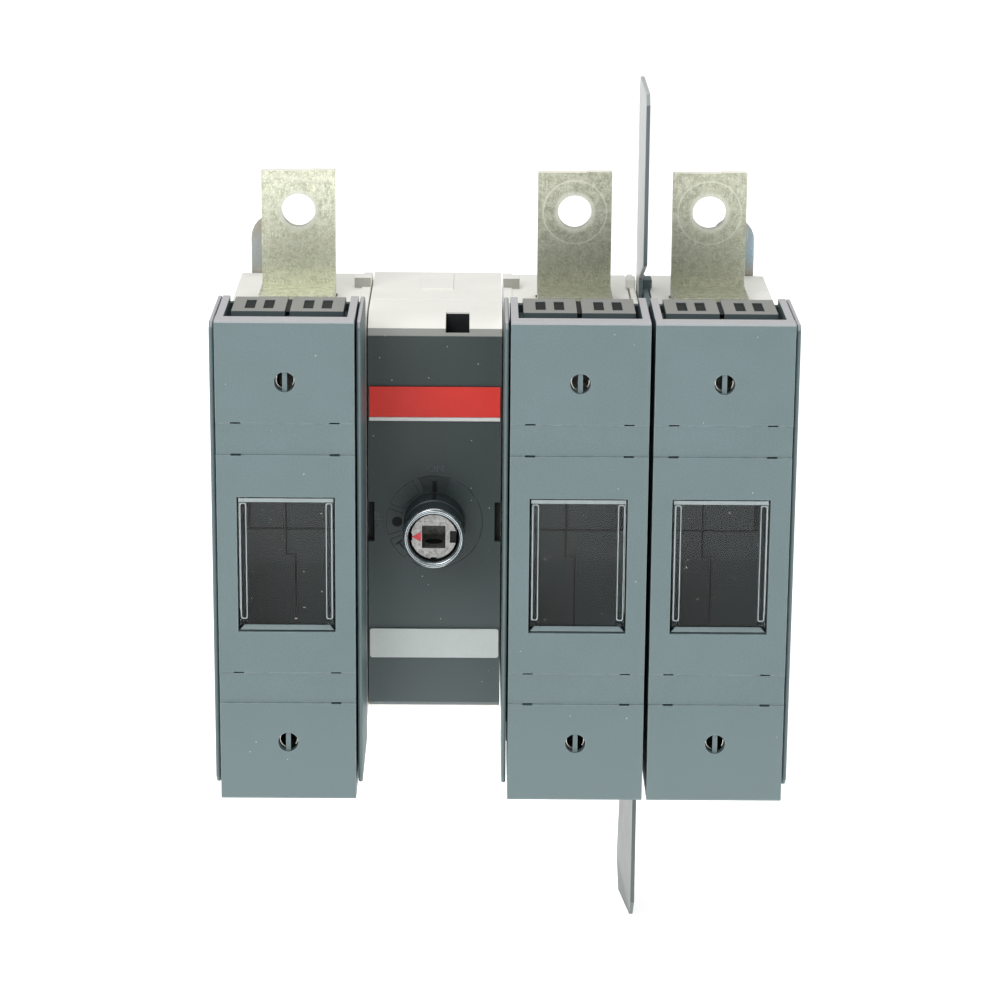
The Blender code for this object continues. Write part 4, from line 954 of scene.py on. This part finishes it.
def makePanel():
    groove = dialRings("dialCutter", panelFace - dialLook["proud"], panelFace + dialLook["deep"])
    fine("mechanism_front", "panelCharcoal", slotShade["panelEdge"], engraved=[groove])
    look, back = slotShade, panelHigh.y
    # painted shade: dark sheets just behind the side slots keep them dark
    shades = []
    for side in (-1, 1):
        left, right = sorted((side * (panelHigh.x - look["side"]), side * (panelHigh.x - look["width"])))
        shades.append(block("shade", (left, back + look["near"], -look["reach"]),
                            (right, back + look["far"], look["reach"])))
    settle(smoothed(joined("side_slot_shades", shades)), "markAndShadeBlack")


def dialInlay():
    # the dark line at the bottom of each groove
    near, far = dialLook["inlay"]
    lines = dialRings("dial_lines", panelFace + near, panelFace + far, dialLook["trim"],
                      dialLook["fieldTrim"])
    settle(smoothed(lines), "dialCharcoal")


markLook = {"lift": 0.01 * mm, "field": 0.03 * mm, "fieldGap": 0.05 * mm, "barHalf": 0.55 * mm,
            "barFrom": 8.2 * mm, "barTo": 11.2 * mm, "bar": (0.14 * mm, 0.035 * mm), "dimple": 1.35 * mm,
            "dimplePlace": (-9.9 * mm, 0.0), "dimpleUp": 0.1 * mm, "wordsUp": 0.09 * mm, "testUp": 0.12 * mm,
            "test": ("T", 2.4 * mm, (-8.7 * mm, -6.6 * mm), math.radians(-38)),
            "on": ("ON", 2.0 * mm, (0.3 * mm, 14.6 * mm), 0.0),
            "off": ("OFF", 2.0 * mm, (-14.8 * mm, 0.4 * mm), math.radians(-90))}


def makeDialMarks():
    look = markLook
    face = panelFace - look["lift"]
    inset = dialLook["line"] + look["fieldGap"]
    onField = sectorLoop(*dialLook["sectors"]["on"], inset)
    settle(slab("dial_on_field", onField, face - look["field"], face), "dialCharcoal")
    half, near, far = look["barHalf"], look["barFrom"], look["barTo"]
    front, back = look["bar"]
    barMark = slab("bar", [(-half, near), (half, near), (half, far), (-half, far)], face - front, face - back)
    rim = arcPoints(look["dimple"], 0.0, 2 * math.pi, 32, look["dimplePlace"])[:-1]
    dimple = slab("dimple", rim, face - look["dimpleUp"], face)
    testMark = lettering("test", *look["test"], face, look["testUp"])
    settle(joined("dial_marks", [barMark, dimple, testMark]), "markAndShadeBlack")
    words = [lettering(name, *look[name], face, look["wordsUp"]) for name in ("on", "off")]
    settle(joined("dial_words", words), "panelCharcoal")


stripLook = {"redEdge": 0.15 * mm, "whiteEdge": 0.1 * mm, "whiteFrom": 1.05 * mm, "whiteTo": 0.06 * mm,
             "labelEdge": 0.08 * mm, "labelCorner": 0.7 * mm}


def makeStrips():
    look = stripLook
    fine("red_strip", "stripRed", look["redEdge"])
    low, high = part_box("red_strip")
    edge = block("white_line", (low.x, low.y, low.z - look["whiteFrom"]),
                 (high.x, high.y, low.z - look["whiteTo"]))
    settle(roundEdges(edge, look["whiteEdge"]), "stripWhite")
    low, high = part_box("marking_strip")
    outline = roundedLoop(low.x, high.x, low.z, high.z, look["labelCorner"], 5)
    label = roundEdges(slab("marking_strip_fine", outline, low.y, high.y), look["labelEdge"], 1)
    settle(label, "labelLight", replaced=("marking_strip",))


caseLook = {"edge": 0.35 * mm, "past": 1.0 * mm, "seam": 0.35 * mm, "seamDepth": 0.45 * mm, "seamPlace": 0.63,
            "ejector": 2.2 * mm, "ejectorDepth": 0.4 * mm, "ejectorX": 11.0 * mm,
            "ejectorZ": (-42.0 * mm, -14.0 * mm, 14.0 * mm, 42.0 * mm),
            "slotX": (2.9 * mm, 8.9 * mm), "shadeY": (-50.8 * mm, -50.6 * mm),
            "shadeZ": (44.0 * mm, 54.4 * mm), "ledgeY": (-57.2 * mm, -50.8 * mm),
            "ledgeZ": (45.6 * mm, 45.8 * mm), "padHalf": 4.5 * mm,
            "padY": (-24.0 * mm, -4.0 * mm), "padHigh": 0.5 * mm, "padSunk": 0.1 * mm, "padEdge": 0.25 * mm}


# a dark sheet of painted shade inside the case, behind the auxiliary slot
def slotShadeSheet(spanY, spanZ):
    corners = zip(caseLook["slotX"], caseLook[spanY], caseLook[spanZ])
    return block("shadeSheet", *corners)


def makeCase():
    low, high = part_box("mechanism_base")
    look = caseLook
    past, padHalf = look["past"], look["padHalf"]
    y = low.y + (high.y - low.y) * (1 - look["seamPlace"])
    cuts, pads = [], []
    for side, end in ((1, high.z), (-1, low.z)):
        bottom, top = sorted((end - side * look["seamDepth"], end + side * past))
        cuts.append(block("seam", (low.x - past, y, bottom), (high.x + past, y + look["seam"], top)))
        bottom, top = sorted((end - side * look["padSunk"], end + side * look["padHigh"]))
        pads.append(block("pad", (-padHalf, look["padY"][0], bottom), (padHalf, look["padY"][1], top)))
    values = {"Radius": look["ejector"], "Depth": 2 * look["ejectorDepth"]}
    spots = [(side * look["ejectorX"], high.y, z) for side in (-1, 1) for z in look["ejectorZ"]]
    cuts.append(grownBy(trees["coins"], "caseEjectors", pointMesh("caseSpots", spots), values))
    fine("mechanism_base", "baseCream", look["edge"], cutters=cuts)
    # painted shade: a dark sheet behind the auxiliary slot and a dark ledge below it
    shadeSheets = [slotShadeSheet("shadeY", "shadeZ"), slotShadeSheet("ledgeY", "ledgeZ")]
    settle(smoothed(joined("auxiliary_shade", shadeSheets)), "markAndShadeBlack")
    settle(roundEdges(joined("case_pads", pads), look["padEdge"]), "baseCream")


makePanel()
dialInlay()
makeDialMarks()
makeStrips()
makeCase()
print("mechanism made")


# operating shaft, collar and ring

collarLook = {"wall": 1.5 * mm, "step": 0.35 * mm, "chamfer": 0.3 * mm, "slope": 0.2 * mm,
              "foot": 0.4 * mm, "footIn": 0.1 * mm, "steps": 96, "tickHalf": 0.45 * mm, "tickGap": 0.3 * mm,
              "tickFoot": 0.8 * mm, "tickSunk": 0.12 * mm, "tickUp": 0.08 * mm, "tickEdge": 0.05 * mm}


def makeCollar():
    low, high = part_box("shaft_collar")
    look = collarLook
    outer, middle = high.x, (low.y + high.y) / 2
    inner, neck = outer - look["wall"], outer - look["step"]
    profile = [(inner, high.y), (inner, low.y), (outer - look["chamfer"], low.y),
               (neck, low.y + look["chamfer"]), (neck, middle - look["slope"]), (outer, middle),
               (outer, high.y - look["foot"]), (outer - look["footIn"], high.y)]
    collar = creased(turned("shaft_collar_fine", profile, look["steps"]), 28)
    settle(collar, "collarCharcoal", replaced=("shaft_collar",))
    tick = block("collar_tick", (-look["tickHalf"], middle + look["tickGap"], outer - look["tickSunk"]),
                 (look["tickHalf"], high.y - look["tickFoot"], outer + look["tickUp"]))
    settle(roundEdges(tick, look["tickEdge"], 1), "markAndShadeBlack")


ringLook = {"wall": 1.5 * mm, "steps": 128, "front": (  # outwards from the bore, back from the front
    (0.0, 0.4), (0.16, 0.15), (0.32, 0.02), (0.48, 0.0), (0.58, 0.3), (0.68, 0.02), (0.9, 0.04),
    (1.0, 0.35), (1.1, 0.1), (1.38, 0.22), (1.5, 0.5))}


def makeRing():
    # three rounded beads with narrow grooves between them
    low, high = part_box("collar_ring")
    inner = high.x - ringLook["wall"]
    front = [(inner + out * mm, low.y + back * mm) for out, back in ringLook["front"]]
    profile = [(inner, high.y)] + front + [(high.x, high.y)]
    ring = creased(turned("collar_ring_fine", profile, ringLook["steps"]), 50)
    settle(ring, "ringChrome", replaced=("collar_ring",))


shaftLook = {"radius": 6.0 * mm, "socket": 3.05 * mm, "past": 1.0 * mm, "edge": 0.15 * mm,
             "grooveHalf": 1.0 * mm, "grooveDeep": 0.4 * mm, "grooveLong": 5.0 * mm, "footHalf": 0.8 * mm,
             "notchHalf": 1.6 * mm, "notchDeep": 1.75 * mm, "shadeGap": 0.02 * mm, "shadeIn": 0.12 * mm,
             "shadeY": (0.5 * mm, 0.9 * mm), "arrow": ((-5.75, 0.0), (-3.35, -1.3), (-3.35, 1.3)),
             "arrowY": (-0.16 * mm, 0.1 * mm), "arrowEdge": 0.06 * mm, "screwHole": 2.3 * mm,
             "screwDepth": 6.2 * mm, "screwZ": (-0.1 * mm, 0.02 * mm)}


def makeShaft():
    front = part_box("drive_shaft")[0].y
    look = shaftLook
    radius, past, foot = look["radius"], look["past"], look["footHalf"]
    near, far = front - past, front + look["grooveLong"]
    cuts = []
    for side, half, deep in ((-1, look["grooveHalf"], look["grooveDeep"]),
                             (1, look["notchHalf"], look["notchDeep"])):
        left, right = sorted((side * (radius - deep), side * (radius + past)))
        cuts.append(block("notch", (left, near, -half), (right, far, half)))
    cuts.append(block("notch", (-foot, near, -radius - past), (foot, far, look["grooveDeep"] - radius)))
    fine("drive_shaft", "castAlloy", look["edge"], "drive", cuts)
    # painted shade: a dark block deep in the notch
    gap = look["shadeGap"]
    half = look["notchHalf"] + gap
    near, far = look["shadeY"]
    dark = block("notch_shade", (radius - look["notchDeep"] - gap, front + near, -half),
                 (radius - look["shadeIn"], front + far, half))
    settle(smoothed(dark), "markAndShadeBlack", "drive", slotName="cast_alloy")
    near, far = look["arrowY"]
    arrow = slab("shaft_arrow", [(x * mm, z * mm) for x, z in look["arrow"]], front + near, front + far)
    settle(roundEdges(arrow, look["arrowEdge"], 1), "arrowRed", "drive")
    # painted shade: a dark disc where the screw hole goes in
    rim = arcPoints(look["screwHole"], 0.0, 2 * math.pi, 32, (0.0, front + look["screwDepth"]))[:-1]
    rings = [[(x, y, z - look["socket"]) for x, y in rim] for z in look["screwZ"]]
    settle(smoothed(lofted("screw_hole", rings)), "markAndShadeBlack", "drive", slotName="cast_alloy")


springLook = {"wire": 0.6 * mm, "turns": 3.0}


def makeSpring():
    low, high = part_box("snap_spring")
    wire = springLook["wire"]
    values = {"Turns": springLook["turns"], "Radius": high.x - wire, "Length": high.y - low.y - 2 * wire,
              "Wire": wire, "Start": Vector((0.0, high.y - wire, 0.0)), "Material": paint["springSteel"]}
    spring = grownBy(trees["coil"], "snap_spring_fine", pointMesh("springSeed", [(0, 0, 0)]), values)
    spring.data.shade_smooth()
    settle(spring, "springSteel", replaced=("snap_spring",))


makeCollar()
makeRing()
makeShaft()
makeSpring()
for name in ("drive_bevel", "cross_shaft", "cross_bevel"):
    coat(nodes[name], "castAlloy")
for number in poles:
    coat(nodes[f"rotor_{number}"], "rotorResin")
    for side in ("front", "rear"):
        coat(nodes[f"rotor_contact_{side}_{number}"], "silvered")
print("shaft made")


# floor, light, camera

studioLook = {"floorHalf": 12.0, "floorGap": 2.0 * mm, "world": 0.45, "aim": (0.02, -0.05, 0.0),
              "lamps": {"keyLight": ((-0.55, -1.15, 0.8), 0.8, 9.8),
                        "fillLight": ((0.9, -1.1, 0.45), 0.7, 3.6),
                        "topLight": ((0.0, 0.15, 1.5), 1.2, 10.0),
                        "tableLight": ((0.0, -0.5, -0.09), 0.3, 0.14)}}


def makeFloorAndLight():
    look = studioLook
    bm = bmesh.new()
    bmesh.ops.create_grid(bm, x_segments=2, y_segments=2, size=look["floorHalf"])
    floor = addObject("studio_floor", meshFrom(bm, "floor"))
    floor.data.transform(Matrix.Translation((0.0, 0.0, cadBox[0].z - look["floorGap"])))
    made, _, shader = blankMaterial("studioWhite")
    setSockets(shader, {"Base Color": (0.93, 0.93, 0.93, 1.0), "Roughness": 0.9,
                        "Emission Color": (1.0, 1.0, 1.0, 1.0), "Emission Strength": 0.6})
    floor.data.materials.append(made)
    world = bpy.data.worlds.new("studio")
    world.use_nodes = True
    backdrop = world.node_tree.nodes["Background"]
    setSockets(backdrop, {"Color": (1.0, 1.0, 1.0, 1.0), "Strength": look["world"]})
    scene.world = world
    for name, (place, size, power) in look["lamps"].items():
        light = bpy.data.lights.new(name, "AREA")
        light.size = size
        light.energy = power
        lamp = addObject(name, light)
        lamp.location = place
        aim = Vector(look["aim"]) - Vector(place)
        lamp.rotation_euler = aim.to_track_quat("-Z", "Y").to_euler()


cameraLook = {"lens": 115.22, "place": (11.66 * mm, -875.15 * mm, 237.07 * mm),
              "yaw": 0.3987, "down": 15.817, "roll": 0.4596}


def makeCamera():
    look = cameraLook
    yaw, down, roll = (math.radians(look[name]) for name in ("yaw", "down", "roll"))
    ahead = Vector((math.sin(yaw) * math.cos(down), math.cos(yaw) * math.cos(down), -math.sin(down)))
    right = Vector((math.cos(yaw), -math.sin(yaw), 0.0))
    up = right.cross(ahead)
    across = right * math.cos(roll) + up * math.sin(roll)
    above = up * math.cos(roll) - right * math.sin(roll)
    data = bpy.data.cameras.new("camera")
    data.sensor_width = 36.0
    data.lens = look["lens"]
    data.clip_start = 0.05
    camera = addObject("camera", data)
    turn = Matrix((across, above, -ahead)).transposed().to_4x4()
    camera.matrix_world = Matrix.Translation(look["place"]) @ turn
    scene.camera = camera


makeFloorAndLight()
makeCamera()
scene.view_settings.view_transform = "Standard"
print("studio made")
